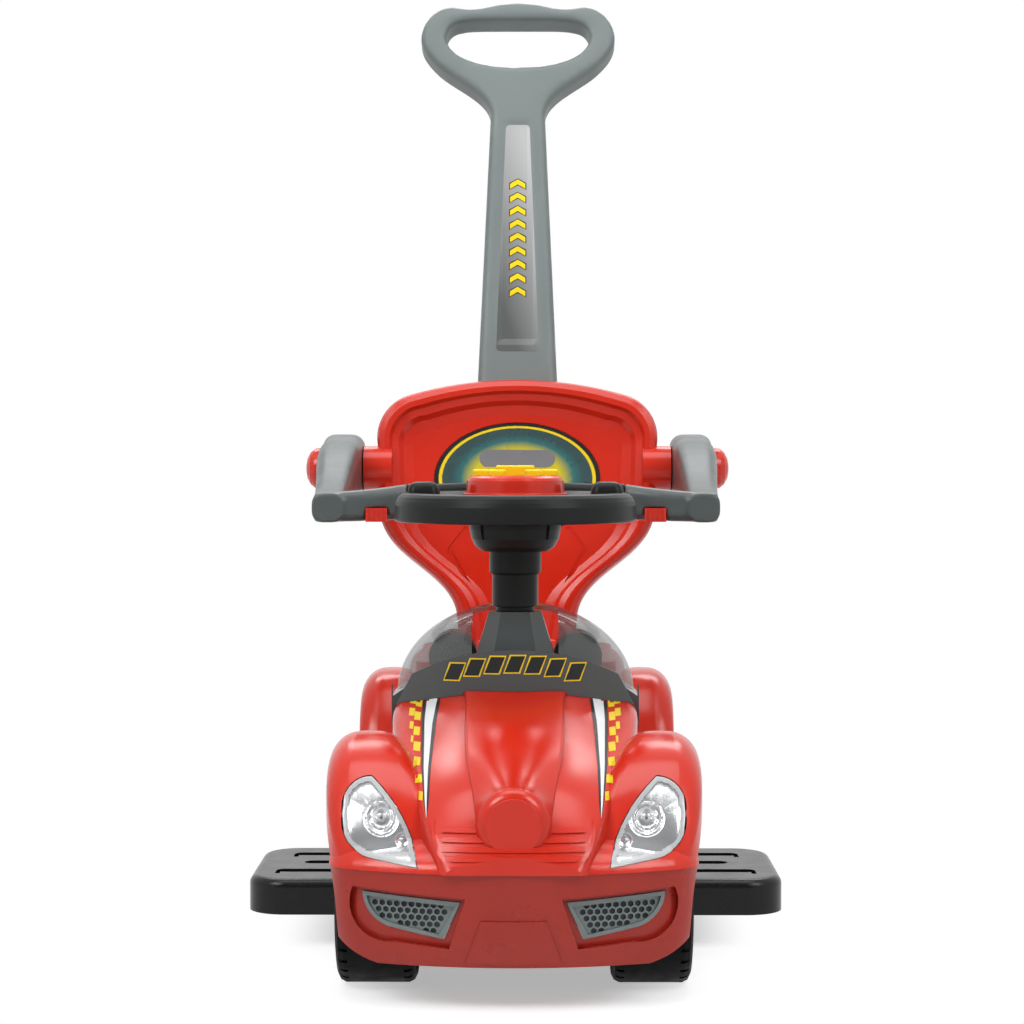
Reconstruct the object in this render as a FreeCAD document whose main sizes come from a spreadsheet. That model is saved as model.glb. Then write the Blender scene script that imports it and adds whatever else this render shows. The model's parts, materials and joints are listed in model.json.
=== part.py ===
import FreeCAD, Part
import math
import os
from types import SimpleNamespace

import Sketcher
from FreeCAD import Placement, Rotation, Vector

doc = FreeCAD.newDocument("push_car")
sheet = doc.addObject("Spreadsheet::Sheet", "Sizes")

SIZES = (
    ("overall_length", 781, "front lip to the back of the push handle"),
    ("body_length", 672, "front lip to tail"),
    ("body_width", 284, "over the fenders"),
    ("waist_width", 190, "between the fenders"),
    ("deck_height", 213, "seat deck above the ground"),
    ("wall", 3, "moulded wall"),
    ("sill_height", 60, "lower edge of the body"),
    ("seam_height", 102, "joint of bumper and body"),
    ("bumper_bottom", 32.5, "lower edge of the bumper"),
    ("bumper_corner", 25, "round lower corner of the bumper"),
    ("fog_depth", 5, "fog grille behind the bumper face"),
    ("bumper_depth", 62, "bumper front to its ends"),
    ("seat_gap", 0.3, "gap of seated pieces"),
    ("running_gap", 0.08, "radial play of shafts"),
    ("front_axle", 125, "front axle behind the front lip"),
    ("wheelbase", 400, "front axle to rear axle"),
    ("wheel_radius", 70, "tyre radius"),
    ("wheel_width", 60, "tyre width"),
    ("wheel_track", 208, "between wheel centres"),
    ("axle_radius", 5, "axle rods"),
    ("arch_gap", 12, "wheel arch over tyre"),
    ("hub_radius", 16, "wheel hub"),
    ("hub_face", 14, "hub end outside the wheel centre"),
    ("hub_back", 28, "hub end inside the wheel centre"),
    ("web_face", 12, "wheel web outside the wheel centre"),
    ("web_thick", 6, "wheel web"),
    ("rim_radius", 47, "rim recess of a wheel"),
    ("cap_rise", 13.5, "hub cap dome above the web"),
    ("nut_radius", 9, "axle nut"),
    ("nut_thick", 3.6, "axle nut"),
    ("kingpin_offset", 60, "kingpin from the middle"),
    ("kingpin_radius", 4, "kingpin"),
    ("nose_height", 136.5, "nose drum above the ground"),
    ("nose_radius", 28, "nose drum"),
    ("disc_radius", 20.5, "flat disc on the nose drum"),
    ("knuckle_radius", 11, "knuckle sleeve"),
    ("knuckle_low", 57, "knuckle sleeve bottom"),
    ("knuckle_high", 93, "knuckle sleeve top"),
    ("steer_arm", 32, "steering arm and crank"),
    ("steer_lock", 15, "degrees the wheels steer to each side"),
    ("link_thick", 5, "steering link"),
    ("pan_floor", 44, "chassis pan underside"),
    ("pan_thick", 4, "chassis pan"),
    ("spine_width", 92, "pan between the front wheels"),
    ("tail_width", 116, "pan between the rear wheels"),
    ("column_station", 235, "steering column behind the front lip"),
    ("rod_radius", 6, "steering rod"),
    ("column_radius", 18.6, "column tube"),
    ("column_low", 281, "column tube bottom"),
    ("collar_low", 307, "column collar bottom"),
    ("bowl_low", 326, "hub bowl bottom"),
    ("bowl_radius", 37, "hub bowl at its top"),
    ("grip_radius", 98, "steering wheel"),
    ("grip_width", 24, "steering wheel rim"),
    ("grip_height", 23, "steering wheel rim"),
    ("grip_low", 350, "steering wheel rim bottom"),
    ("horn_low", 370, "horn cap bottom"),
    ("horn_height", 17, "horn cap"),
    ("horn_radius", 42.5, "horn cap"),
    ("button_width", 14, "small button"),
    ("button_depth", 9, "button"),
    ("button_rise", 5, "button above the cap"),
    ("button_long", 32, "middle button"),
    ("shroud_top", 277.5, "column shroud top"),
    ("cowl_top", 249, "cowl lip in the middle"),
    ("cowl_deck", 241, "cowl deck in the middle"),
    ("cowl_crown", 174, "crown radius of the cowl lip"),
    ("cowl_front", 190, "cowl front behind the front lip"),
    ("cowl_back", 300, "cowl back behind the front lip"),
    ("screen_height", 75, "windscreen above its centre"),
    ("screen_half", 98, "windscreen half width"),
    ("screen_depth", 84, "windscreen front to back"),
    ("screen_thick", 2.5, "windscreen"),
    ("tub_front", 352, "storage tub front"),
    ("tub_length", 156, "storage tub"),
    ("tub_width", 120, "storage tub"),
    ("tub_depth", 100, "storage tub"),
    ("lid_front", 340, "seat lid front"),
    ("lid_back", 530, "seat lid back"),
    ("lid_width", 172, "seat lid"),
    ("lid_thick", 10, "seat lid"),
    ("lid_pin_radius", 3, "seat hinge pin"),
    ("back_front", 548, "backrest foot behind the front lip"),
    ("back_lean", 10, "backrest lean in degrees"),
    ("back_thick", 30, "backrest"),
    ("back_height", 258, "backrest above the deck"),
    ("back_half", 132, "backrest half width"),
    ("waist_half", 52, "backrest half width at its foot"),
    ("badge_half", 79, "badge recess half width"),
    ("badge_rise", 54, "badge recess half height"),
    ("badge_height", 164, "badge centre above the backrest foot"),
    ("pivot_station", 592, "guard pivot behind the front lip"),
    ("pivot_height", 388, "guard pivot above the ground"),
    ("pivot_radius", 6, "guard pivot bolt"),
    ("arm_inside", 145, "guard arm inner face at the pivot"),
    ("arm_width", 39, "guard arm at the pivot"),
    ("bar_half", 91.7, "guard bar half length"),
    ("handle_station", 641, "push handle where it leaves the backrest"),
    ("handle_rise", 468, "push handle where it leaves the backrest"),
    ("handle_lean", 18, "push handle lean in degrees"),
    ("handle_thick", 34, "push handle"),
    ("handle_plug", 96, "push handle inside its socket"),
    ("handle_reach", 401, "push handle above its socket"),
    ("handle_half", 97, "push handle loop half width"),
    ("foot_front", 255, "footrest front"),
    ("foot_length", 169, "footrest along the car"),
    ("foot_inside", 96, "footrest inner end"),
    ("foot_outside", 221, "footrest outer end"),
    ("foot_low", 26, "footrest underside"),
    ("foot_high", 55, "footrest top"),
    ("groove_width", 15, "footrest groove"),
    ("slide_radius", 4, "footrest rod"),
    ("slide_half", 140, "footrest rod half length"),
    ("slide_height", 40, "footrest rod above the ground"),
    ("screw_radius", 2, "chassis screw"),
)
for row, (alias, amount, note) in enumerate(SIZES, start=1):
    sheet.set(f"A{row}", note)
    sheet.set(f"B{row}", str(amount))
    sheet.setAlias(f"B{row}", alias)
doc.recompute()


class Size:
    """A length from the sheet, or a sum of such lengths, with the expression that spells it."""

    def __init__(self, amount, text):
        self.amount = float(amount)
        self.text = text

    def __float__(self):
        return self.amount

    def __add__(self, other):
        return Size(self.amount + float(other), f"({self.text} + {spell(other)})")

    def __radd__(self, other):
        return Size(float(other) + self.amount, f"({spell(other)} + {self.text})")

    def __sub__(self, other):
        return Size(self.amount - float(other), f"({self.text} - {spell(other)})")

    def __rsub__(self, other):
        return Size(float(other) - self.amount, f"({spell(other)} - {self.text})")

    def __mul__(self, other):
        return Size(self.amount * float(other), f"({self.text} * {spell(other)})")

    def __rmul__(self, other):
        return Size(float(other) * self.amount, f"({spell(other)} * {self.text})")

    def __truediv__(self, other):
        return Size(self.amount / float(other), f"({self.text} / {spell(other)})")

    def __neg__(self):
        return Size(-self.amount, f"(-{self.text})")


def spell(amount):
    """The expression text of a size or plain number."""
    if isinstance(amount, Size):
        return amount.text
    return f"({float(amount)})"


cell = SimpleNamespace(**{alias: Size(sheet.get(alias), f"Sizes.{alias}") for alias, _, _ in SIZES})
mm = SimpleNamespace(**{alias: float(sheet.get(alias)) for alias, _, _ in SIZES})
nodes = []


def along(station):
    """Place along the car of a station behind the front lip."""
    return station - cell.overall_length / 2


def at(station):
    """Plain number of a place along the car."""
    return station - mm.overall_length / 2


def keep(item, label):
    """Name a finished piece and list it for writing."""
    item.Label = label
    nodes.append(item)
    return item


TURNS = {
    "x": Rotation(Vector(0, 1, 0), 90),
    "y": Rotation(Vector(1, 0, 0), -90),
    "z": Rotation(),
}


def block(name, x, y, z):
    """A box between two places on each axis."""
    item = doc.addObject("Part::Box", name)
    for side, axis, (low, high) in (("Length", "x", x), ("Width", "y", y), ("Height", "z", z)):
        item.setExpression(side, spell(high - low))
        item.setExpression(f"Placement.Base.{axis}", spell(low))
    return item


def rod(name, axis, radius, low, high, **across):
    """A round bar along one axis between two places."""
    item = doc.addObject("Part::Cylinder", name)
    item.Placement = Placement(Vector(), TURNS[axis])
    item.setExpression("Radius", spell(radius))
    item.setExpression("Height", spell(high - low))
    item.setExpression(f"Placement.Base.{axis}", spell(low))
    for other, place in across.items():
        item.setExpression(f"Placement.Base.{other}", spell(place))
    return item


def joined(name, *items):
    """Pieces of one moulding made into one solid."""
    item = doc.addObject("Part::MultiFuse", name)
    item.Shapes = list(items)
    item.Refine = True
    return item


def less(name, base, *tools):
    """A piece with openings taken out of it."""
    item = doc.addObject("Part::Cut", name)
    item.Base = base
    item.Tool = tools[0] if len(tools) == 1 else joined(name + "_openings", *tools)
    item.Refine = True
    return item


def group(name, *items):
    """Identical separate pieces kept together."""
    item = doc.addObject("Part::Compound", name)
    item.Links = list(items)
    return item


def formed(name, shape):
    """A moulded piece from its finished shape."""
    item = doc.addObject("Part::Feature", name)
    item.Shape = shape
    return item


def sided(side, low, high):
    """A stretch across the car, on the left for +1 and on the right for -1."""
    if side > 0:
        return low, high
    return -high, -low


def sketch_on(body, role, name):
    """A sketch on one of the body's own planes."""
    sketch = body.newObject("Sketcher::SketchObject", name)
    plane = next(f for f in body.Origin.OriginFeatures if f.Role == role)
    sketch.AttachmentSupport = [(plane, "")]
    sketch.MapMode = "FlatFace"
    return sketch


def draw(sketch, corners):
    """Closed outline with every corner held from the sketch origin."""
    first = sketch.GeometryCount
    count = len(corners)
    places = [Vector(float(u), float(v), 0) for u, v in corners]
    for index in range(count):
        sketch.addGeometry(Part.LineSegment(places[index], places[(index + 1) % count]))
    for index in range(count):
        follow = first + (index + 1) % count
        sketch.addConstraint(Sketcher.Constraint("Coincident", first + index, 2, follow, 1))
    for index, (u, v) in enumerate(corners):
        for kind, place in (("DistanceX", u), ("DistanceY", v)):
            rule = Sketcher.Constraint(kind, -1, 1, first + index, 1, float(place))
            number = sketch.addConstraint(rule)
            if isinstance(place, Size):
                sketch.setExpression(f"Constraints[{number}]", place.text)


def turned(name, axis, corners):
    """A body turned about its own X axis (H_Axis) or Z axis (V_Axis)."""
    body = doc.addObject("PartDesign::Body", name)
    sketch = sketch_on(body, "XZ_Plane", name + "_profile")
    draw(sketch, corners)
    turn = body.newObject("PartDesign::Revolution", name + "_turn")
    turn.Profile = sketch
    turn.ReferenceAxis = (sketch, [axis])
    turn.Angle = 360
    return body, sketch


def stand(body, x, y, z, spin=0):
    """Put a body in the car."""
    body.Placement = Placement(Vector(), Rotation(Vector(0, 0, 1), spin))
    for axis, place in (("x", x), ("y", y), ("z", z)):
        body.setExpression(f"Placement.Base.{axis}", spell(place))
    return body


def crowned(half, front, back, crown, corner):
    """Corner places of an outline with a crowned front, tangent round corners and a straight back."""
    centre = front - crown
    reach = half - corner
    span = crown - corner
    drop = math.sqrt(span * span - reach * reach)
    middle = centre + drop
    turn = math.atan2(drop, reach)
    bend = (reach + corner * math.cos(turn / 2), middle + corner * math.sin(turn / 2))
    crest = (crown * math.cos(turn), centre + crown * math.sin(turn))
    return (half, back), (half, middle), bend, crest, (0, front)


def crowned_wire(place, half, front, back, crown, corner):
    """Closed wire of a crowned outline; place turns its two numbers into a point."""
    low, side, bend, crest, top = crowned(half, front, back, crown, corner)

    def mirror(pair):
        return place(-pair[0], pair[1])

    edges = [
        Part.makeLine(mirror(low), place(*low)),
        Part.makeLine(place(*low), place(*side)),
        Part.Arc(place(*side), place(*bend), place(*crest)).toShape(),
        Part.Arc(place(*crest), place(*top), mirror(crest)).toShape(),
        Part.Arc(mirror(crest), mirror(bend), mirror(side)).toShape(),
        Part.makeLine(mirror(side), mirror(low)),
    ]
    return Part.Wire(edges)


def box_of(x, y, z):
    """Plain box for trimming shapes."""
    low = Vector(x[0], y[0], z[0])
    return Part.makeBox(x[1] - x[0], y[1] - y[0], z[1] - z[0], low)


def cross_wire(station, middle, half, top, crown, corner):
    """Section across the car that reaches well below the sill."""

    def place(u, v):
        return Vector(middle + u, at(station), v)

    return crowned_wire(place, half, top, -mm.wheel_radius, crown, corner)


HULL = (
    (0.000, 0.526, 0.531, 150, 6),
    (0.015, 0.600, 0.610, 150, 7),
    (0.045, 0.690, 0.718, 155, 7),
    (0.104, 0.795, 0.828, 170, 8),
    (0.193, 0.915, 0.927, 200, 8),
    (0.305, 1.030, 1.019, 255, 10),
    (0.357, 1.030, 1.014, 500, 14),
    (0.446, 1.000, 1.000, 900, 16),
    (0.595, 0.990, 1.000, 1200, 16),
    (0.744, 1.030, 1.009, 1200, 16),
    (0.848, 1.063, 1.028, 1200, 18),
    (0.923, 1.053, 1.028, 900, 20),
    (0.970, 0.968, 0.953, 400, 22),
    (1.000, 0.842, 0.789, 300, 24),
)


def hull(inset):
    """Hood, seat deck and tail in one sweep of sections, drawn in by the inset."""
    wires = []
    for share, wide, tall, crown, corner in HULL:
        station = share * mm.body_length
        station = min(max(station, inset), mm.body_length - inset)
        half = wide * mm.waist_width / 2 - inset
        top = tall * mm.deck_height - inset
        wires.append(cross_wire(station, 0, half, top, crown - inset, corner - inset))
    return Part.makeLoft(wires, True)


FRONT_FENDER = (
    (-1.300, 50, 22, 1.60, 14),
    (-1.157, 54, 10, 1.97, 18),
    (-0.929, 61, 3.5, 2.29, 21),
    (-0.571, 70, 0.5, 2.57, 23),
    (0.000, 79, 0, 2.73, 24),
    (0.643, 84, 0, 2.60, 23),
    (1.143, 86, 1, 2.10, 20),
    (1.471, 86, 4, 1.30, 16),
    (1.586, 88, 8, 0.90, 14),
)
REAR_FENDER = (
    (-1.443, 84, 8, 0.90, 14),
    (-1.314, 84, 4, 1.45, 16),
    (-1.000, 85, 1, 2.25, 19),
    (-0.500, 86, 0, 2.80, 21),
    (0.000, 87, 0, 2.914, 22),
    (0.714, 87, 0, 2.83, 22),
    (1.357, 85, 3, 2.45, 20),
    (1.786, 78, 12, 1.95, 17),
    (1.986, 70, 24, 1.50, 14),
)


def fender(side, axle, rows, inset):
    """Rounded hump over one wheel, drawn in by the inset."""
    wires = []
    first = axle + rows[0][0] * mm.wheel_radius
    last = axle + rows[-1][0] * mm.wheel_radius
    for offset, inner, short, tall, corner in rows:
        station = axle + offset * mm.wheel_radius
        station = min(max(station, first + inset), last - inset)
        outer = mm.body_width / 2 - short
        middle = (inner + outer) / 2
        half = (outer - inner) / 2 - inset
        top = tall * mm.wheel_radius - inset
        wires.append(cross_wire(station, side * middle, half, top, 90 - inset, corner - inset))
    return Part.makeLoft(wires, True)


def nose_wire(height, half, front, inset):
    """Bow-shaped plan of the nose and bumper at one height."""
    back = -at(mm.bumper_depth) - 20

    def place(u, v):
        return Vector(u, -v, height)

    return crowned_wire(place, half - inset, -at(front) - inset, back, 273 - inset, 34 - inset)


def apron(inset):
    """Sloping front that the hood and fenders grow out of, drawn in by the inset."""
    half = mm.body_width / 2 - 4
    steps = ((0, 0, 0), (5, 1, 2), (14, 6, 12), (20, 13, 27), (26, 22, 46))
    wires = [nose_wire(mm.seam_height - 20, half, 0, inset)]
    for rise, narrow, back in steps:
        wires.append(nose_wire(mm.seam_height + rise - inset, half - narrow, back, inset))
    lower = Part.makeLoft(wires[:2], True, True)
    upper = Part.makeLoft(wires[1:], True)
    return lower.fuse(upper)


rear_axle_station = mm.front_axle + mm.wheelbase


def outside(inset, whole=True):
    """Outer form of the body, drawn in by the inset."""
    form = hull(inset)
    others = [apron(inset)]
    for side in (1, -1):
        others.append(fender(side, mm.front_axle, FRONT_FENDER, inset))
        if whole:
            others.append(fender(side, rear_axle_station, REAR_FENDER, inset))
    return form.fuse(others)


def prism(points, depth, mirror=1):
    """Upright outline across the car pushed straight back from the front."""
    edges = []
    for step in points:
        if len(step) == 2:
            first, last = (Vector(mirror * u, at(-40), v) for u, v in step)
            edges.append(Part.makeLine(first, last))
        else:
            first, bend, last = (Vector(mirror * u, at(-40), v) for u, v in step)
            edges.append(Part.Arc(first, bend, last).toShape())
    wire = Part.Wire(Part.__sortEdges__(edges))
    return Part.Face(wire).extrude(Vector(0, depth + 40, 0))


def lamp_outline(grow):
    """Teardrop of a headlamp with a pointed inner foot."""
    foot = (70 - 1.6 * grow, 106 - grow)
    top = (106, 166 + grow)
    outer = (127 + grow, 140)
    heel = (106, 111 - grow)
    return (
        (foot, (84 - grow, 141 + grow), top),
        (top, (123 + 0.8 * grow, 158 + 0.8 * grow), outer),
        (outer, (121 + 0.8 * grow, 119 - 0.8 * grow), heel),
        (heel, foot),
    )


def fog_outline(grow):
    """Fog grille outline, slanted inside and rounded outside."""
    high_in = (38.5 - 1.3 * grow, 81 + grow)
    high_out = (111 + grow, 86 + grow)
    curve = (106.5 + 0.8 * grow, 72 - 0.4 * grow)
    low_out = (91, 61 - grow)
    low_in = (51 - grow, 53.5 - grow)
    return (
        (high_in, high_out),
        (high_out, curve, low_out),
        (low_out, low_in),
        (low_in, high_in),
    )


def scoop_outline(grow):
    """Sunken field round a fog grille, deeper below and outside it."""
    high_in = (35 - 1.3 * grow, 84 + grow)
    high_out = (118 + grow, 89.5 + grow)
    curve = (118 + 0.8 * grow, 66 - 0.5 * grow)
    low_out = (87, 50.5 - grow)
    low_in = (47 - grow, 46.5 - grow)
    return (
        (high_in, high_out),
        (high_out, curve, low_out),
        (low_out, low_in),
        (low_in, high_in),
    )


# Wheels, caps and nuts

def make_wheel(name, side, station):
    """Moulded wheel with an open back, dished face and notched tread."""
    half = cell.wheel_width / 2
    radius = cell.wheel_radius
    bore = cell.axle_radius + cell.running_gap
    web_back = cell.web_face - cell.web_thick
    body, profile = turned(name, "H_Axis", [
        (cell.hub_face, bore),
        (cell.hub_face, cell.hub_radius),
        (cell.web_face, cell.hub_radius + 1),
        (cell.web_face, cell.rim_radius),
        (half - 5, cell.rim_radius + 2),
        (half - 1, radius - 9),
        (half, radius - 6),
        (half - 2, radius - 2),
        (half - 6, radius),
        (6 - half, radius),
        (2 - half, radius - 2),
        (-half, radius - 6),
        (1 - half, radius - 8),
        (web_back, radius - 9),
        (web_back, cell.hub_radius + 3),
        (-cell.hub_back, cell.hub_radius - 3),
        (-cell.hub_back, bore),
    ])
    notch = sketch_on(body, "XZ_Plane", name + "_notch")
    for face in (1, -1):
        draw(notch, [
            (face * (half - 9), radius - 1.8),
            (face * (half + 2), radius - 1.8),
            (face * (half + 2), radius + 2),
            (face * (half - 9), radius + 2),
        ])
    groove = body.newObject("PartDesign::Groove", name + "_groove")
    groove.Profile = notch
    groove.ReferenceAxis = (notch, ["H_Axis"])
    groove.Angle = 3
    groove.Midplane = True
    doc.recompute()
    ring = body.newObject("PartDesign::PolarPattern", name + "_tread")
    ring.Originals = [groove]
    ring.Axis = (notch, ["H_Axis"])
    ring.Angle = 360
    ring.Occurrences = 36
    body.Tip = ring
    stand(body, side * cell.wheel_track / 2, along(station), radius, 0 if side > 0 else 180)
    return keep(body, name)


def make_cap(name, side, station):
    """Domed hub cap with five windows."""
    foot = cell.web_face + cell.seat_gap
    edge = cell.rim_radius - cell.seat_gap
    top = cell.web_face + cell.cap_rise
    room = cell.hub_radius + 1.5
    body, profile = turned(name, "H_Axis", [
        (top, 0),
        (top - 0.6, 12),
        (top - 5, edge * 0.5),
        (top - 8.5, edge * 0.76),
        (foot + 4, edge - 2),
        (foot, edge),
        (foot, room + 2),
        (top - 6, room),
        (top - 3, 0),
    ])
    window = sketch_on(body, "YZ_Plane", name + "_window")
    draw(window, [
        (-4, edge * 0.52),
        (4, edge * 0.52),
        (9, edge * 0.84),
        (-9, edge * 0.84),
    ])
    pocket = body.newObject("PartDesign::Pocket", name + "_pocket")
    pocket.Profile = window
    pocket.Type = "ThroughAll"
    pocket.Midplane = True
    doc.recompute()
    ring = body.newObject("PartDesign::PolarPattern", name + "_windows")
    ring.Originals = [pocket]
    ring.Axis = (profile, ["H_Axis"])
    ring.Angle = 360
    ring.Occurrences = 5
    body.Tip = ring
    stand(body, side * cell.wheel_track / 2, along(station), cell.wheel_radius, 0 if side > 0 else 180)
    return keep(body, name)


def nut_stretch(side):
    """Stretch across the car that an axle nut takes."""
    low = cell.wheel_track / 2 + cell.hub_face + cell.seat_gap
    return sided(side, low, low + cell.nut_thick)


axle_end = cell.wheel_track / 2 + cell.hub_face + cell.nut_thick + 1.5
front_line = along(cell.front_axle)
rear_line = along(cell.front_axle + cell.wheelbase)
for side, hand in ((1, "left"), (-1, "right")):
    for end, station in (("front", cell.front_axle), ("rear", cell.front_axle + cell.wheelbase)):
        make_wheel(f"wheel_{end}_{hand}", side, station)
        make_cap(f"hub_cap_{end}_{hand}", side, station)

rear_rod = rod("axle_rod", "x", cell.axle_radius, -axle_end, axle_end, y=rear_line, z=cell.wheel_radius)
keep(rear_rod, "rear_axle")
rear_nuts = []
for side, hand in ((1, "left"), (-1, "right")):
    low, high = nut_stretch(side)
    disc = rod(f"rear_nut_{hand}", "x", cell.nut_radius, low, high, y=rear_line, z=cell.wheel_radius)
    hole = rod(
        f"rear_nut_hole_{hand}", "x", cell.axle_radius, low - 1, high + 1, y=rear_line, z=cell.wheel_radius
    )
    rear_nuts.append(less(f"rear_nut_ring_{hand}", disc, hole))
keep(group("rear_nuts", *rear_nuts), "rear_axle_nuts")

# Steering knuckles, link and rod

pin_top = cell.knuckle_high + cell.link_thick + 3


def make_knuckle(side, hand):
    """Sleeve on the kingpin with a stub axle and a forward steering arm."""
    middle = side * cell.kingpin_offset
    sleeve = rod(
        f"sleeve_{hand}", "z", cell.knuckle_radius, cell.knuckle_low, cell.knuckle_high,
        x=middle, y=front_line,
    )
    low, high = sided(side, cell.kingpin_offset, axle_end)
    stub = rod(f"stub_{hand}", "x", cell.axle_radius, low, high, y=front_line, z=cell.wheel_radius)
    shoulder_end = cell.wheel_track / 2 - cell.hub_back - cell.seat_gap
    low, high = sided(side, cell.kingpin_offset, shoulder_end)
    shoulder = rod(
        f"shoulder_{hand}", "x", cell.axle_radius + 3, low, high, y=front_line, z=cell.wheel_radius
    )
    arm = block(
        f"steer_arm_{hand}",
        (middle - 6, middle + 6),
        (front_line - cell.steer_arm - 6, front_line),
        (cell.knuckle_high - 6, cell.knuckle_high),
    )
    pin = rod(
        f"arm_pin_{hand}", "z", 3, cell.knuckle_high - 1, pin_top, x=middle, y=front_line - cell.steer_arm
    )
    whole = joined(f"knuckle_form_{hand}", sleeve, stub, shoulder, arm, pin)
    bore = rod(
        f"kingpin_bore_{hand}", "z", cell.kingpin_radius + cell.running_gap,
        cell.knuckle_low - 1, cell.knuckle_high + 1, x=middle, y=front_line,
    )
    keep(less(f"knuckle_solid_{hand}", whole, bore), f"knuckle_{hand}")
    low, high = nut_stretch(side)
    disc = rod(f"front_nut_{hand}", "x", cell.nut_radius, low, high, y=front_line, z=cell.wheel_radius)
    hole = rod(
        f"front_nut_hole_{hand}", "x", cell.axle_radius, low - 1, high + 1,
        y=front_line, z=cell.wheel_radius,
    )
    keep(less(f"front_nut_ring_{hand}", disc, hole), f"front_axle_nut_{hand}")


for side, hand in ((1, "left"), (-1, "right")):
    make_knuckle(side, hand)

ear_low = cell.pan_floor + cell.pan_thick
ear_high = cell.knuckle_high + cell.seat_gap + 10
pins = []
for side, hand in ((1, "left"), (-1, "right")):
    shank = rod(
        f"kingpin_{hand}", "z", cell.kingpin_radius, cell.pan_floor, ear_high,
        x=side * cell.kingpin_offset, y=front_line,
    )
    head = rod(
        f"kingpin_head_{hand}", "z", cell.kingpin_radius + 3, ear_high, ear_high + 2.5,
        x=side * cell.kingpin_offset, y=front_line,
    )
    pins.append(joined(f"kingpin_solid_{hand}", shank, head))
keep(group("kingpin_pair", *pins), "kingpins")

column_line = along(cell.column_station)
link_low = cell.knuckle_high + cell.seat_gap
link_high = link_low + cell.link_thick
link_line = front_line - cell.steer_arm
crank_line = column_line - cell.steer_arm
bar = block(
    "link_bar", (-cell.kingpin_offset - 8, cell.kingpin_offset + 8),
    (link_line - 7, link_line + 7), (link_low, link_high),
)
tail = block("link_tail", (Size(-8, "(-8)"), 8), (link_line, crank_line + 9), (link_low, link_high))
link_holes = [rod("crank_hole", "z", 4 + cell.running_gap, link_low - 1, link_high + 1, x=0, y=crank_line)]
for side, hand in ((1, "left"), (-1, "right")):
    link_holes.append(rod(
        f"link_hole_{hand}", "z", 3 + cell.running_gap, link_low - 1, link_high + 1,
        x=side * cell.kingpin_offset, y=link_line,
    ))
keep(less("link_solid", joined("link_form", bar, tail), *link_holes), "tie_rod")

rod_low = cell.pan_floor + 1
rod_high = cell.horn_low - 1
shaft = rod("steer_shaft", "z", cell.rod_radius, rod_low, rod_high, x=0, y=column_line)
crank = block(
    "steer_crank", (Size(-7, "(-7)"), 7), (crank_line - 7, column_line),
    (cell.knuckle_high - 6, cell.knuckle_high),
)
crank_pin = rod("crank_pin", "z", 4, cell.knuckle_high - 1, pin_top, x=0, y=crank_line)
keep(joined("steer_rod_solid", shaft, crank, crank_pin), "steering_rod")

# Chassis pan

mid_low = cell.sill_height + 1
mid_high = mid_low + cell.pan_thick
step_front = along(cell.foot_front - 7)
step_back = along(cell.foot_front + cell.foot_length + 7)
tail_end = along(cell.body_length - 30)
spine_front = along(cell.bumper_depth + 6)
half_spine = cell.spine_width / 2
half_tail = cell.tail_width / 2
half_mid = cell.waist_width / 2 - cell.wall - 4
pan_top = cell.pan_floor + cell.pan_thick
pan_parts = [
    block("pan_front", (-half_spine, half_spine), (spine_front, step_front), (cell.pan_floor, pan_top)),
    block(
        "pan_front_step", (-half_spine, half_spine), (step_front - 3, step_front),
        (cell.pan_floor, mid_high),
    ),
    block("pan_middle", (-half_mid, half_mid), (step_front - 3, step_back + 3), (mid_low, mid_high)),
    block("pan_back_step", (-half_tail, half_tail), (step_back, step_back + 3), (cell.pan_floor, mid_high)),
    block("pan_back", (-half_tail, half_tail), (step_back, tail_end), (cell.pan_floor, pan_top)),
    block(
        "pan_keel", (Size(-18, "(-18)"), 18), (step_front + 8, step_back - 8),
        (cell.slide_height - 8, mid_high),
    ),
    rod("rod_bush", "z", cell.rod_radius + 7, cell.pan_floor, pan_top + 12, x=0, y=column_line),
]
pan_holes = [
    rod("rod_bush_bore", "z", cell.rod_radius + cell.running_gap, rod_low, pan_top + 13, x=0, y=column_line),
    rod("axle_bore", "x", cell.axle_radius + cell.running_gap, -cell.wheel_track, cell.wheel_track,
        y=rear_line, z=cell.wheel_radius),
]
for side, hand in ((1, "left"), (-1, "right")):
    middle = side * cell.kingpin_offset
    wall_x = sided(side, half_spine - 6, half_spine)
    web_x = sided(side, half_spine - 6, cell.kingpin_offset)
    ears = (front_line - 10, front_line + 10)
    low_ear = (cell.pan_floor, cell.knuckle_low - cell.seat_gap)
    high_ear = (link_low, ear_high)
    pan_parts += [
        block(f"ear_wall_{hand}", wall_x, ears, (cell.pan_floor, ear_high)),
        block(f"low_ear_{hand}", web_x, ears, low_ear),
        block(f"high_ear_{hand}", web_x, ears, high_ear),
        rod(f"low_boss_{hand}", "z", Size(10, "(10)"), *low_ear, x=middle, y=front_line),
        rod(f"high_boss_{hand}", "z", Size(10, "(10)"), *high_ear, x=middle, y=front_line),
        block(f"axle_block_{hand}", sided(side, half_tail - 24, half_tail),
              (rear_line - 14, rear_line + 14), (cell.pan_floor, cell.wheel_radius + 14)),
    ]
    pan_holes.append(rod(
        f"ear_bore_{hand}", "z", cell.kingpin_radius, cell.pan_floor - 1, ear_high + 1,
        x=middle, y=front_line,
    ))
slide_lines = (
    along(cell.foot_front + cell.foot_length * 0.2),
    along(cell.foot_front + cell.foot_length * 0.8),
)
for number, line in enumerate(slide_lines):
    pan_holes.append(rod(
        f"slide_bore_{number}", "x", cell.slide_radius, -cell.slide_half, cell.slide_half,
        y=line, z=cell.slide_height,
    ))
screw_x = half_mid - 12
screw_lines = (step_front + 14, step_back - 14)
screws = []
posts = []
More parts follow.
